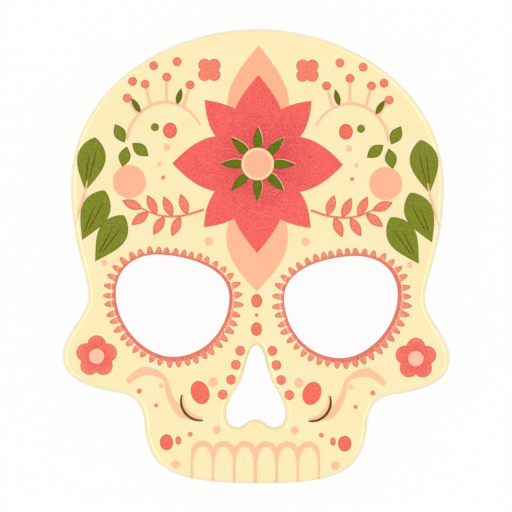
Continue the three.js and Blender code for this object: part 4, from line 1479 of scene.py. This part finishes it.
@dataclass(frozen=True)
class Foliage:
    """Temple leaves with their veins, leaflets, berry vines and leafy sprays.

    Places are in shares of the forehead, and a vein is its start, its end and its bow in shares
    of the leaf.
    """

    temple_leaves: dict[str, tuple[Place, float]] = field(default_factory=lambda: {
        "upper": ((0.92, 0.278), 100),
        "middle": ((0.935, 0.062), 114),
        "lower": ((0.865, -0.032), 122),
    })
    leaf_size: Place = (5.7, 3.0)
    leaf_shares: Place = (1.4, 0.72)
    veins: tuple[tuple[float, float, float], ...] = ((0.2, 0.78, 0.12), (0.16, 0.68, -0.1))
    vein_widths: tuple[float, ...] = (0.06, 0.13, 0.13, 0.11, 0.06)
    vein_start: float = 0.35
    vein_arch: float = 0.35
    vein_steps: int = 18
    petiole: tuple[Place, ...] = ((0, 0), (0.5, -1.75), (1.08, -3.5))
    petiole_start: float = 1.1
    petiole_steps: int = 40
    petiole_widths: tuple[float, ...] = (0.12, 0.26, 0.3, 0.24, 0.14)
    top_lift: float = 0.03
    leaflets: tuple[tuple[Place, float], ...] = (
        ((0.712, 0.492), 62), ((0.7, 0.475), -78), ((0.672, 0.49), -142),
    )
    leaflet_size: Place = (2.2, 1.25)
    vine: tuple[Place, ...] = (
        (0.305, 0.572), (0.38, 0.64), (0.49, 0.672), (0.6, 0.645), (0.675, 0.575), (0.7, 0.505),
    )
    vine_lift: float = 0.026
    stalks: tuple[tuple[Place, Place], ...] = (
        ((0.4, 0.65), (0.365, 0.748)),
        ((0.49, 0.672), (0.49, 0.782)),
        ((0.575, 0.655), (0.605, 0.75)),
        ((0.64, 0.615), (0.7, 0.688)),
    )
    crown_berries: tuple[Place, ...] = ((0.435, 0.85), (0.56, 0.832), (0.672, 0.762))
    vine_leaves: tuple[Place, ...] = ((0.3, 104), (0.66, 58))
    vine_leaf_size: Place = (1.75, 0.62)
    berry_width: float = 0.92
    stem_width: float = 0.32
    spray: tuple[Place, ...] = ((0.285, 0.2), (0.4, 0.172), (0.52, 0.172), (0.625, 0.205))
    spray_widths: tuple[float, ...] = (0.26, 0.24, 0.16)
    spray_leaves: tuple[Place, ...] = (
        (0.26, 72), (0.36, -68), (0.48, 66), (0.6, -60), (0.72, 64), (0.84, -38), (0.95, 22),
    )
    spray_leaf_size: Place = (2.3, 1.0)
    line_steps: int = 60
    stalk_steps: int = 8

    def build(self, shop: PrintShop) -> None:
        """Print leaves, vines, berries and sprays on both sides."""
        self._leaves(shop)
        self._vines(shop)
        self._sprays(shop)

    def _vein(self, start: float, end: float, bow: float) -> np.ndarray:
        """Return a vein's line in a leaf that lies along the first axis."""
        share = np.linspace(start, end, self.vein_steps)
        along = (share - start) / (end - start)
        arch = self.vein_arch * bow * np.sin(math.pi * along)
        spread = bow * self.leaf_size[1] * (self.vein_start + (1 - self.vein_start) * along)
        return np.column_stack([share * self.leaf_size[0], spread + arch])

    def _leaves(self, shop: PrintShop) -> None:
        """Print the temple leaves, their veins and stalks and the leaflets."""
        plan, cut = shop.plan, shop.cutter.cut
        veins = []
        for name, (shares, direction) in self.temple_leaves.items():
            foot = plan.on_forehead(*shares)
            loop = leaf_loop(foot, direction, *self.leaf_size, *self.leaf_shares, steps=44)
            for side, label in SIDES.items():
                film = cut([on_side(loop, side)], dense=True)
                shop.print_film(f"{label}_temple_leaf_{name}", film, Ink.OLIVE)
            for vein in self.veins:
                line = turned(self._vein(*vein), direction, foot)
                veins.append(Stroke(line, self.vein_widths, self.top_lift))
        shop.print_strokes("leaf_veins", paired(*veins), Ink.UMBER)
        shares, direction = self.temple_leaves["upper"]
        foot = plan.on_forehead(*shares)
        start = polar(foot, self.petiole_start, direction)
        line = spline([start, *(foot + step for step in self.petiole)], self.petiole_steps)
        stalk = Stroke(line, self.petiole_widths, self.top_lift)
        shop.print_strokes("leaf_stalks", paired(stalk), Ink.PALE_PEACH)
        leaflets = [
            Copy(plan.on_forehead(*shares), *self.leaflet_size, direction)
            for shares, direction in self.leaflets
        ]
        nodes = both("leaflet", 1, 2)
        shop.print_copies("leaflets", cut([unit_leaf()]), paired(*leaflets), Ink.OLIVE, nodes)

    def _along(self, line: np.ndarray, leaves: Iterable[Place], size: Place) -> list[Copy]:
        """Return pairs of leaves that stand at shares of a line, each in its direction."""
        return paired(*(
            Copy(line[round(share * self.line_steps)], *size, direction)
            for share, direction in leaves
        ))

    def _vines(self, shop: PrintShop) -> None:
        """Print the vines with their stalks, berries and leaves."""
        plan, cut, width = shop.plan, shop.cutter.cut, self.stem_width
        vine = spline([plan.on_forehead(*shares) for shares in self.vine], self.line_steps)
        strokes = [Stroke(vine, (0.6 * width, width, width), self.vine_lift)]
        for ends in self.stalks:
            line = spline([plan.on_forehead(*shares) for shares in ends], self.stalk_steps)
            strokes.append(Stroke(line, (width, 0.8 * width)))
        nodes = both("berry_vine")
        shop.print_strokes("berry_vines", paired(*strokes), Ink.PALE_PEACH, nodes)
        places = [*(end for _, end in self.stalks), *self.crown_berries]
        berries = paired(*(
            Copy(plan.on_forehead(*shares), self.berry_width, self.berry_width)
            for shares in places
        ))
        nodes = both("stalk_berry", 1, 2, 3, 4)
        shop.print_copies("berries", cut([disc(0.5)], 1), berries, Ink.CORAL, nodes)
        leaves = self._along(vine, self.vine_leaves, self.vine_leaf_size)
        unit = cut([unit_leaf(0.9, 0.85)], 2)
        shop.print_copies("vine_leaves", unit, leaves, Ink.LEAF_GREEN)

    def _sprays(self, shop: PrintShop) -> None:
        """Print the leafy sprays."""
        places = [shop.plan.on_forehead(*shares) for shares in self.spray]
        line = spline(places, self.line_steps)
        shop.print_strokes("spray_stems", paired(Stroke(line, self.spray_widths)), Ink.CORAL)
        leaves = self._along(line, self.spray_leaves, self.spray_leaf_size)
        unit = shop.cutter.cut([unit_leaf(0.95, 0.9)], 1)
        shop.print_copies("spray_leaves", unit, leaves, Ink.CORAL, both("leaf_spray"))


@dataclass(frozen=True)
class Blooms:
    """Small ornaments of the forehead, and dots. A dot is its place on the left and its width."""

    blossom_shares: Place = (0.262, 0.815)
    blossom_reach: float = 0.72
    blossom_lobe: float = 0.66
    sun_shares: Place = (0.47, 0.547)
    sun_size: Place = (1.46, 1.66)
    moon_shares: Place = (0.685, 0.32)
    moon_radius: float = 1.74
    peach_dots: tuple[tuple[float, float, float], ...] = (
        (-9.6, 11.4, 0.7), (-10.4, 9.6, 0.5), (-16.1, -0.8, 0.62), (-5.1, 1.55, 0.9),
        (-10.0, -13.7, 0.52), (-4.5, -13.3, 0.98), (-4.1, -18.3, 0.84), (-8.4, -22.0, 0.92),
    )
    green_dots: tuple[tuple[float, float, float], ...] = ((-10.85, 13.5, 0.84),)
    coral_dots: tuple[tuple[float, float, float], ...] = (
        (-9.95, 8.2, 0.44), (-12.3, -14.3, 0.52), (-10.5, -15.8, 0.42), (-6.9, -18.8, 0.5),
    )

    def build(self, shop: PrintShop) -> None:
        """Print the blossoms, the discs and the dots."""
        plan, cut = shop.plan, shop.cutter.cut
        middle = plan.on_forehead(*self.blossom_shares)
        lobes = lobed(middle, 4, 45, self.blossom_reach, self.blossom_lobe)
        for side, label in SIDES.items():
            film = cut([on_side(lobe, side) for lobe in lobes])
            shop.print_film(f"{label}_blossom", film, Ink.CORAL)
        unit = cut([disc(0.5)])
        suns = paired(Copy(plan.on_forehead(*self.sun_shares), *self.sun_size))
        shop.print_copies("suns", unit, suns, Ink.WARM_RED, both("sun_dot"))
        moon = cut([disc(self.moon_radius, plan.on_forehead(*self.moon_shares))])
        for side, label in SIDES.items():
            shop.print_film(f"{label}_moon", moon.on(side), Ink.PEACH, f"{label}_moon_dot")
        for name, dots, ink in (
            ("green_dots", self.green_dots, Ink.OLIVE),
            ("peach_dots", self.peach_dots, Ink.PALE_PEACH),
            ("coral_dots", self.coral_dots, Ink.CORAL),
        ):
            copies = paired(*(Copy(np.array([-x, y]), size, size) for x, y, size in dots))
            shop.print_copies(name, unit, copies, ink)


def lobed(
    middle: np.ndarray, count: int, first: float, reach: float, radius: float
) -> list[np.ndarray]:
    """Return the outlines of a flower's round lobes and of the disc that joins them.

    Args:
        middle: The flower's middle.
        count: How many lobes it has.
        first: The direction of the first lobe, in degrees.
        reach: From the middle to the lobes' middles.
        radius: The lobes' radius.

    Returns:
        The lobes, and then the disc.
    """
    turns = (first + i * 360 / count for i in range(count))
    lobes = [disc(radius, polar(middle, reach, turn)) for turn in turns]
    return [*lobes, disc(reach, middle)]


@dataclass(frozen=True)
class EyeRings:
    """The ring of petals round each eye opening, over a band that wraps down its wall."""

    petal_count: int = 42
    petal_slip: Place = (0.09, -0.1)
    petal_half_width: float = 0.35
    petal_steps: int = 22
    petal_spread: float = 0.06
    petal_lean: float = 0.09
    seed: int = 11
    side_reach: float = 1.38
    top_reach: float = 0.99
    tuck: float = 0.25
    shoulder: float = 0.16
    tip_powers: Place = (2.8, 0.58)
    dark_edge_start: float = 0.3
    dark_edge_span: float = 0.4
    sink: Place = (0.024, 0.003)
    sink_reach: float = 0.14
    band_slip: Place = (0.24, -0.18)
    # How much darker the band over the eye's rim and wall is painted: painted shade.
    band_painted_shade: float = 0.7
    band_steps: int = 18
    notch: float = 0.3
    wall_reach: float = 2.1
    waves: tuple[tuple[float, float, float], ...] = ((0.08, 9, 0), (0.06, 23, 1), (0.03, 41, 2))

    def _petal(self, shop: PrintShop) -> Film:
        """Return a petal of unit length, sunk into the band at its foot."""
        share = (1 - np.cos(np.linspace(0, math.pi, self.petal_steps))) / 2
        past = np.clip((share - self.shoulder) / (1 - self.shoulder), 0, 1)
        fall, close = self.tip_powers
        half = self.petal_half_width * (1 - past**fall) ** close
        low, high = np.column_stack([share, -half]), np.column_stack([share, half])
        unit = shop.cutter.cut([np.vstack([low, high[-2::-1]])], dense=True)
        along = unit.points[:, 0]
        edge = unit.edge * np.clip((along - self.dark_edge_start) / self.dark_edge_span, 0, 1)
        sunk = self.sink[0] * np.clip(1 - along / self.sink_reach, 0, 1) - self.sink[1]
        return Film(unit.points - np.outer(sunk, (0, 0, 1)), unit.faces, edge)

    def build(self, shop: PrintShop) -> None:
        """Print both rings, each band and its petals in one piece."""
        unit = self._petal(shop)
        ink = Ink.SALMON
        for side, label in SIDES.items():
            loop = shop.plan.eye(side)
            values = {
                "Count": self.petal_count,
                "Side Reach": self.side_reach + self.tuck,
                "Top Reach": self.top_reach + self.tuck,
                "Spread": self.petal_spread,
                "Lean": self.petal_lean,
                "Seed": self.seed + side,
            }
            foot = loop - self.tuck * outward_of(loop) + self.petal_slip
            petals = shop.print_ring(foot, unit, values, ink)
            node = f"{label}_eye_petals"
            band = shop.lay_film(f"print_{node}", self._band(shop, loop), ink.value.material())
            # Painted shade: the whole band is stored darker, on top of the rim's own painted shade.
            store(band.data, "painted_band_shade", np.full(len(band.data.vertices), self.band_painted_shade))
            parts = [band, place_in_scene(f"petals_{label}", petals)]
            with bpy.context.temp_override(
                active_object=band, selected_editable_objects=parts, selected_objects=parts
            ):
                bpy.ops.object.join()
            shop.fix(band, ink.value.slot, [node])

    def _band(self, shop: PrintShop, loop: np.ndarray) -> Film:
        """Return the closed band from down the wall up to the notches between the petals."""
        plan, coat, lip = shop.plan, shop.cutter.coat, shop.cutter.lip
        loop = evenly(loop, 6 * self.petal_count)
        count, outward = len(loop), outward_of(loop)
        top = self.notch + outward @ np.array(self.band_slip)
        station = np.linspace(0, 2 * math.pi, count, endpoint=False)
        wave = sum(size * np.sin(times * station + start) for size, times, start in self.waves)
        foot = plan.face_inset - plan.rim_radius * math.pi / 2 - self.wall_reach + wave
        steps = self.band_steps
        front = [(step, lip if step in (0, steps) else coat) for step in range(steps + 1)]
        back = [(step, -coat) for step in range(steps, -1, -6)]
        rows = []
        for step, lift in (*front, *back):
            reach = foot + (top - foot) * (step / steps)
            rows.append(np.column_stack([loop + outward * reach[:, None], np.full(count, lift)]))
        points = np.vstack(rows)
        numbers = np.arange(len(points)).reshape(-1, count)
        faces = [
            np.column_stack([a, b, np.roll(b, -1), np.roll(a, -1)])
            for a, b in zip(numbers, np.roll(numbers, -1, axis=0))
        ]
        return Film(points, np.vstack(faces), np.zeros(len(points)))


@dataclass(frozen=True)
class Cheeks:
    """Ornaments of the cheeks: flowers, drops, crescents and scrolls."""

    flower_shares: Place = (0.822, -0.005)
    lobe_count: int = 5
    lobe_radius: float = 0.98
    lobe_reach: float = 1.22
    heart_radius: float = 0.82
    bloom_reaches: Place = (2.15, 2.55)
    bloom_depth: float = 1.25
    flecks: float = 1.6
    fleck_offsets: tuple[Place, Place] = ((-1.2, -0.7), (0.0, 0.3))
    drop_shares: Place = (0.288, 0.5)
    drop_size: Place = (1.9, 2.5)
    drop_turn: float = -22
    crescent_shares: Place = (0.285, 0.62)
    crescent_angles: Place = (18, -98)
    crescent_radius: float = 2.05
    crescent_width: float = 0.28
    crescent_widths: tuple[float, ...] = (0.5, 1, 1.1, 1, 0.5)
    crescent_steps: int = 40
    crescent_lift: float = 0.036
    glow_offset: Place = (0.06, 0.08)
    glow_reach: float = 0.9
    glow_widths: tuple[float, ...] = (0.1, 0.5, 0.6, 0.5, 0.1)
    glow_lift: float = 0.027
    scroll: tuple[Place, ...] = (
        (0.665, 0.36), (0.575, 0.2), (0.475, 0.3), (0.44, 0.58), (0.38, 0.8), (0.29, 0.87),
    )
    scroll_width: float = 0.95
    scroll_widths: tuple[float, ...] = (0.5, 1, 0.45, 0.65, 1, 0.2)
    scroll_steps: int = 90

    def build(self, shop: PrintShop) -> None:
        """Print the cheeks' ornaments on both sides."""
        plan, cut = shop.plan, shop.cutter.cut
        flower = plan.on_cheek(*self.flower_shares)
        lobes = lobed(flower, self.lobe_count, 90, self.lobe_reach, self.lobe_radius)
        drop = dot_loop(plan.on_cheek(*self.drop_shares), *self.drop_size, self.drop_turn)
        line = spline([plan.on_cheek(*shares) for shares in self.scroll], self.scroll_steps)
        scroll = ribbon_loop(line, [share * self.scroll_width for share in self.scroll_widths])
        blooms = zip(SIDES.items(), self.bloom_reaches, self.fleck_offsets)
        for (side, label), reach, offset in blooms:
            heart = flower * (side, 1)
            bloom = Bloom(f"{label}_cheek", heart, reach, self.bloom_depth, self.flecks, offset)
            for name, node, loops, coats, ink, glow in (
                ("cheek_flower", "cheek_flower", lobes, 0, Ink.CHEEK_RED, bloom),
                ("cheek_heart", "cheek_flower_heart", [disc(self.heart_radius, flower)], 1,
                 Ink.CHEEK_PEACH, None),
                ("cheek_drop", "cheek_drop", [drop], 0, Ink.WARM_RED, None),
                ("scroll", "cheek_scroll", [scroll], 0, Ink.PALE_PEACH, None),
            ):
                film = cut([on_side(loop, side) for loop in loops], coats)
                shop.print_film(f"{label}_{name}", film, ink, f"{label}_{node}", glow)
        self._crescents(shop)

    def _crescents(self, shop: PrintShop) -> None:
        """Print the crescents and the pale glow inside them."""
        middle = shop.plan.on_cheek(*self.crescent_shares)
        angles = np.radians(np.linspace(*self.crescent_angles, self.crescent_steps))
        line = middle + self.crescent_radius * np.column_stack([np.cos(angles), np.sin(angles)])
        widths = tuple(share * self.crescent_width for share in self.crescent_widths)
        crescent = Stroke(line, widths, self.crescent_lift)
        inside = middle + (line - middle) * self.glow_reach + self.glow_offset
        glow = Stroke(inside, self.glow_widths, self.glow_lift)
        shop.print_strokes("crescents", paired(crescent), Ink.UMBER, both("cheek_crescent"))
        shop.print_strokes("crescent_glows", paired(glow), Ink.PALE_PEACH)


@dataclass(frozen=True)
class Middle:
    """Dots round the nose and on the bridge, and on the jaw."""

    nose_levels: tuple[float, ...] = (0.93, 0.76, 0.58, 0.4)
    nose_dot: float = 1.04
    nose_distance: float = 1.02
    brow_levels: tuple[float, ...] = (0.445, 0.72)
    brow_size: Place = (1.16, 1.42)
    point_level: float = 0.583
    point_width: float = 0.38
    jaw_shares: Place = (0.795, 0.265)
    jaw_size: Place = (1.4, 1.66)
    small_jaw_shares: Place = (0.69, 0.23)
    small_jaw_size: Place = (0.62, 0.9)

    def build(self, shop: PrintShop) -> None:
        """Print the dots."""
        plan = shop.plan
        nose = plan.nose()
        flank = nose[(nose[:, 0] >= 0) & (nose[:, 1] >= nose[nose[:, 0].argmax(), 1])]
        flank = flank[flank[:, 1].argsort()]
        dots = []
        for share in self.nose_levels:
            level = plan.nose_low + share * (plan.nose_top - plan.nose_low)
            across = float(np.interp(level, flank[:, 1], flank[:, 0])) + self.nose_distance
            dots.append(Copy(np.array([across, level]), self.nose_dot, self.nose_dot))
        brows = [Copy(plan.on_bridge(level), *self.brow_size) for level in self.brow_levels]
        point = Copy(plan.on_bridge(self.point_level), self.point_width, self.point_width)
        jaw = Copy(plan.on_chin(*self.jaw_shares), *self.jaw_size)
        small = Copy(plan.on_chin(*self.small_jaw_shares), *self.small_jaw_size)
        unit = shop.cutter.cut([disc(0.5)], dense=True)
        for name, copies, ink, replaced in (
            ("nose_dots", paired(*dots), Ink.CORAL, both("nose_dot", 1, 2, 3, 4)),
            ("brow_dots", brows, Ink.BROW_CORAL, ["brow_dot_1", "brow_dot_2"]),
            ("bridge_point", [point], Ink.BROW_CORAL, ()),
            ("jaw_dots", paired(jaw), Ink.WARM_RED, both("jaw_dot")),
            ("small_jaw_dots", paired(small), Ink.CORAL, ()),
        ):
            shop.print_copies(name, unit, copies, ink, replaced)


@dataclass(frozen=True)
class Teeth:
    """Tooth lines under a row of arches, run over the chin's edge."""

    count: int = 6
    pitch: float = 2.23
    top: float = -19.48
    outer_height: float = 1.28
    outer_half: float = 1.24
    slot_top: float = -20.05
    slot_height: float = 1.9
    line_halves: tuple[float, ...] = (0.11, 0.13, 0.15, 0.2, 0.15, 0.13, 0.11)
    overrun: float = 0.5
    arch_steps: int = 25
    outline_steps: int = 1500

    def build(self, shop: PrintShop) -> None:
        """Print the arches and lines as one comb."""
        outline = shop.bed.borders[0]
        chin = outline[outline[:, 1] < shop.plan.nose_low]
        chin = chin[chin[:, 0].argsort()]

        def foot(x: float) -> float:
            return float(np.interp(x, chin[:, 0], chin[:, 1])) - self.overrun

        first, reach = -self.count / 2 * self.pitch, self.pitch / 2
        halves = self.line_halves
        points = [(first - halves[0], foot(first))]
        for i in range(self.count):
            middle = first + (i + 0.5) * self.pitch
            start = -reach - (halves[0] if i == 0 else 0)
            end = reach + (halves[-1] if i == self.count - 1 else 0)
            for x in np.linspace(start, end, self.arch_steps)[min(i, 1) :]:
                rise = math.sqrt(max(0.0, 1 - (x / self.outer_half) ** 2))
                points.append((middle + x, self.top - self.outer_height * (1 - rise)))
        last = first + self.count * self.pitch
        points.append((last + halves[-1], foot(last)))
        angles = np.linspace(0, math.pi, self.arch_steps)
        level = self.slot_top - self.slot_height
        for i in range(self.count - 1, -1, -1):
            left = first + i * self.pitch + halves[i]
            right = first + (i + 1) * self.pitch - halves[i + 1]
            middle, half = (left + right) / 2, (right - left) / 2
            points.append((right, foot(right)))
            points.extend(
                (middle + half * math.cos(a), level + self.slot_height * math.sin(a))
                for a in angles
            )
            points.append((left, foot(left)))
        comb = evenly(np.array(points), self.outline_steps)
        shop.print_film("tooth_arches", shop.cutter.cut([comb], dense=True), Ink.PALE_PEACH)


# Studio


@dataclass(frozen=True)
class Lamp:
    """A rectangular lamp that looks at the plate, or only shines along its glossy rims.

    It stands at a distance in metres, seen from the plate at an azimuth and an elevation.
    """

    name: str
    power: float
    size: Place
    distance: float
    seen_from: Place
    only_gloss: bool = False

    def hang(self) -> None:
        """Put the lamp in the scene."""
        lamp = bpy.data.lights.new(self.name, "AREA")
        lamp.shape = "RECTANGLE"
        lamp.size, lamp.size_y = self.size
        lamp.energy = self.power
        azimuth, elevation = (math.radians(angle) for angle in self.seen_from)
        level = math.cos(elevation)
        towards = Vector((
            math.cos(azimuth) * level, math.sin(azimuth) * level, math.sin(elevation)
        ))
        thing = place_in_scene(self.name, lamp)
        thing.visible_diffuse = not self.only_gloss
        thing.location = towards * self.distance
        thing.rotation_euler = towards.to_track_quat("Z", "Y").to_euler()


@dataclass(frozen=True)
class Studio:
    """A white table under soft light, with the camera straight above the plate."""

    lens: float = 500.0
    sensor: float = 36.0
    roll: float = 0.43
    aim: Place = (-0.105, 0.02)
    clip: Place = (0.01, 10.0)
    sky: float = 0.965
    lamps: tuple[Lamp, ...] = (
        Lamp("key", 0.5, (0.4, 1.25), 1.0, (177, 40)),
        Lamp("fill", 0.4, (0.4, 1.25), 1.0, (3, 20)),
        Lamp("gleam", 15.0, (1.8, 0.42), 1.0, (190, 46), True),
        Lamp("far_gleam", 13.5, (1.6, 0.42), 1.0, (16, 46), True),
    )
    shadow_share: float = 0.08
    table_half: float = 1500.0
    table_drop: float = 0.02
    table_white: float = 0.92
    table_roughness: float = 0.9
    table_shine: float = 0.1

    def build(self, plan: SkullPlan) -> None:
        """Set up the table, the light and the camera."""
        scene = bpy.context.scene
        scene.view_settings.view_transform = "Standard"
        self._world(scene)
        self._table()
        for lamp in self.lamps:
            lamp.hang()
        camera = bpy.data.cameras.new("camera")
        camera.lens, camera.sensor_width = self.lens, self.sensor
        camera.clip_start, camera.clip_end = self.clip
        stand = place_in_scene("camera", camera)
        distance = PICTURE * PIXEL * MM * self.lens / self.sensor
        stand.location = (self.aim[0] * MM, self.aim[1] * MM, plan.thickness * MM + distance)
        stand.rotation_euler = (0, 0, math.radians(self.roll))
        scene.camera = stand

    def _world(self, scene: bpy.types.Scene) -> None:
        """Light the room evenly, and show it white."""
        world = bpy.data.worlds.new("room")
        world.use_nodes = True
        scene.world = world
        wiring = Wiring(world.node_tree)
        seen = self._looked_at(wiring)
        strength = wiring.plus(self.sky, wiring.times(seen, 1 - self.sky))
        room = world.node_tree.nodes["Background"]
        wiring.feed(room, {"Color": (1, 1, 1, 1), "Strength": strength})

    @staticmethod
    def _looked_at(wiring: Wiring) -> bpy.types.NodeSocket:
        """Return 1 where the camera sees a surface itself, in a reflection or through something."""
        path = wiring.add("ShaderNodeLightPath").outputs
        seen = wiring.calc("MAXIMUM", path["Is Camera Ray"], path["Is Glossy Ray"])
        return wiring.calc("MAXIMUM", seen, path["Is Transmission Ray"])

    def _table(self) -> None:
        """Lay a white table that keeps a faint shadow of the plate."""
        corners = np.array([(-1, -1), (1, -1), (1, 1), (-1, 1)]) * self.table_half
        points = np.column_stack([corners, np.full(4, -self.table_drop)])
        mesh = mesh_from("table", points, [(0, 1, 2, 3)])
        table = place_in_scene("table", mesh)
        material, wiring, surface = shader("table")
        wiring.feed(surface, {
            "Base Color": (self.table_white, self.table_white, self.table_white, 1),
            "Roughness": self.table_roughness,
            "Specular IOR Level": self.table_shine,
        })
        share = wiring.times(self._looked_at(wiring), 1 - self.shadow_share)
        white = wiring.get("ShaderNodeEmission")
        mix = wiring.get("ShaderNodeMixShader", {0: share, 1: surface.outputs[0], 2: white})
        wiring.feed(material.node_tree.nodes["Material Output"], {"Surface": mix})
        mesh.materials.append(material)


def main() -> None:
    """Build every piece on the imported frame."""
    logging.basicConfig(level=logging.INFO, format="%(name)s %(message)s")
    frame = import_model()
    LOG.info("the frame has %d nodes", len(frame["nodes"]))
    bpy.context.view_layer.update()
    plan = SkullPlan()
    shop = PrintShop(plan)
    Plate().build(shop)
    for part in (ForeheadFlower(), Foliage(), Blooms(), EyeRings(), Cheeks(), Middle(), Teeth()):
        part.build(shop)
        LOG.info("%s is printed", type(part).__name__)
    Studio().build(plan)


if __name__ == "__main__":
    main()
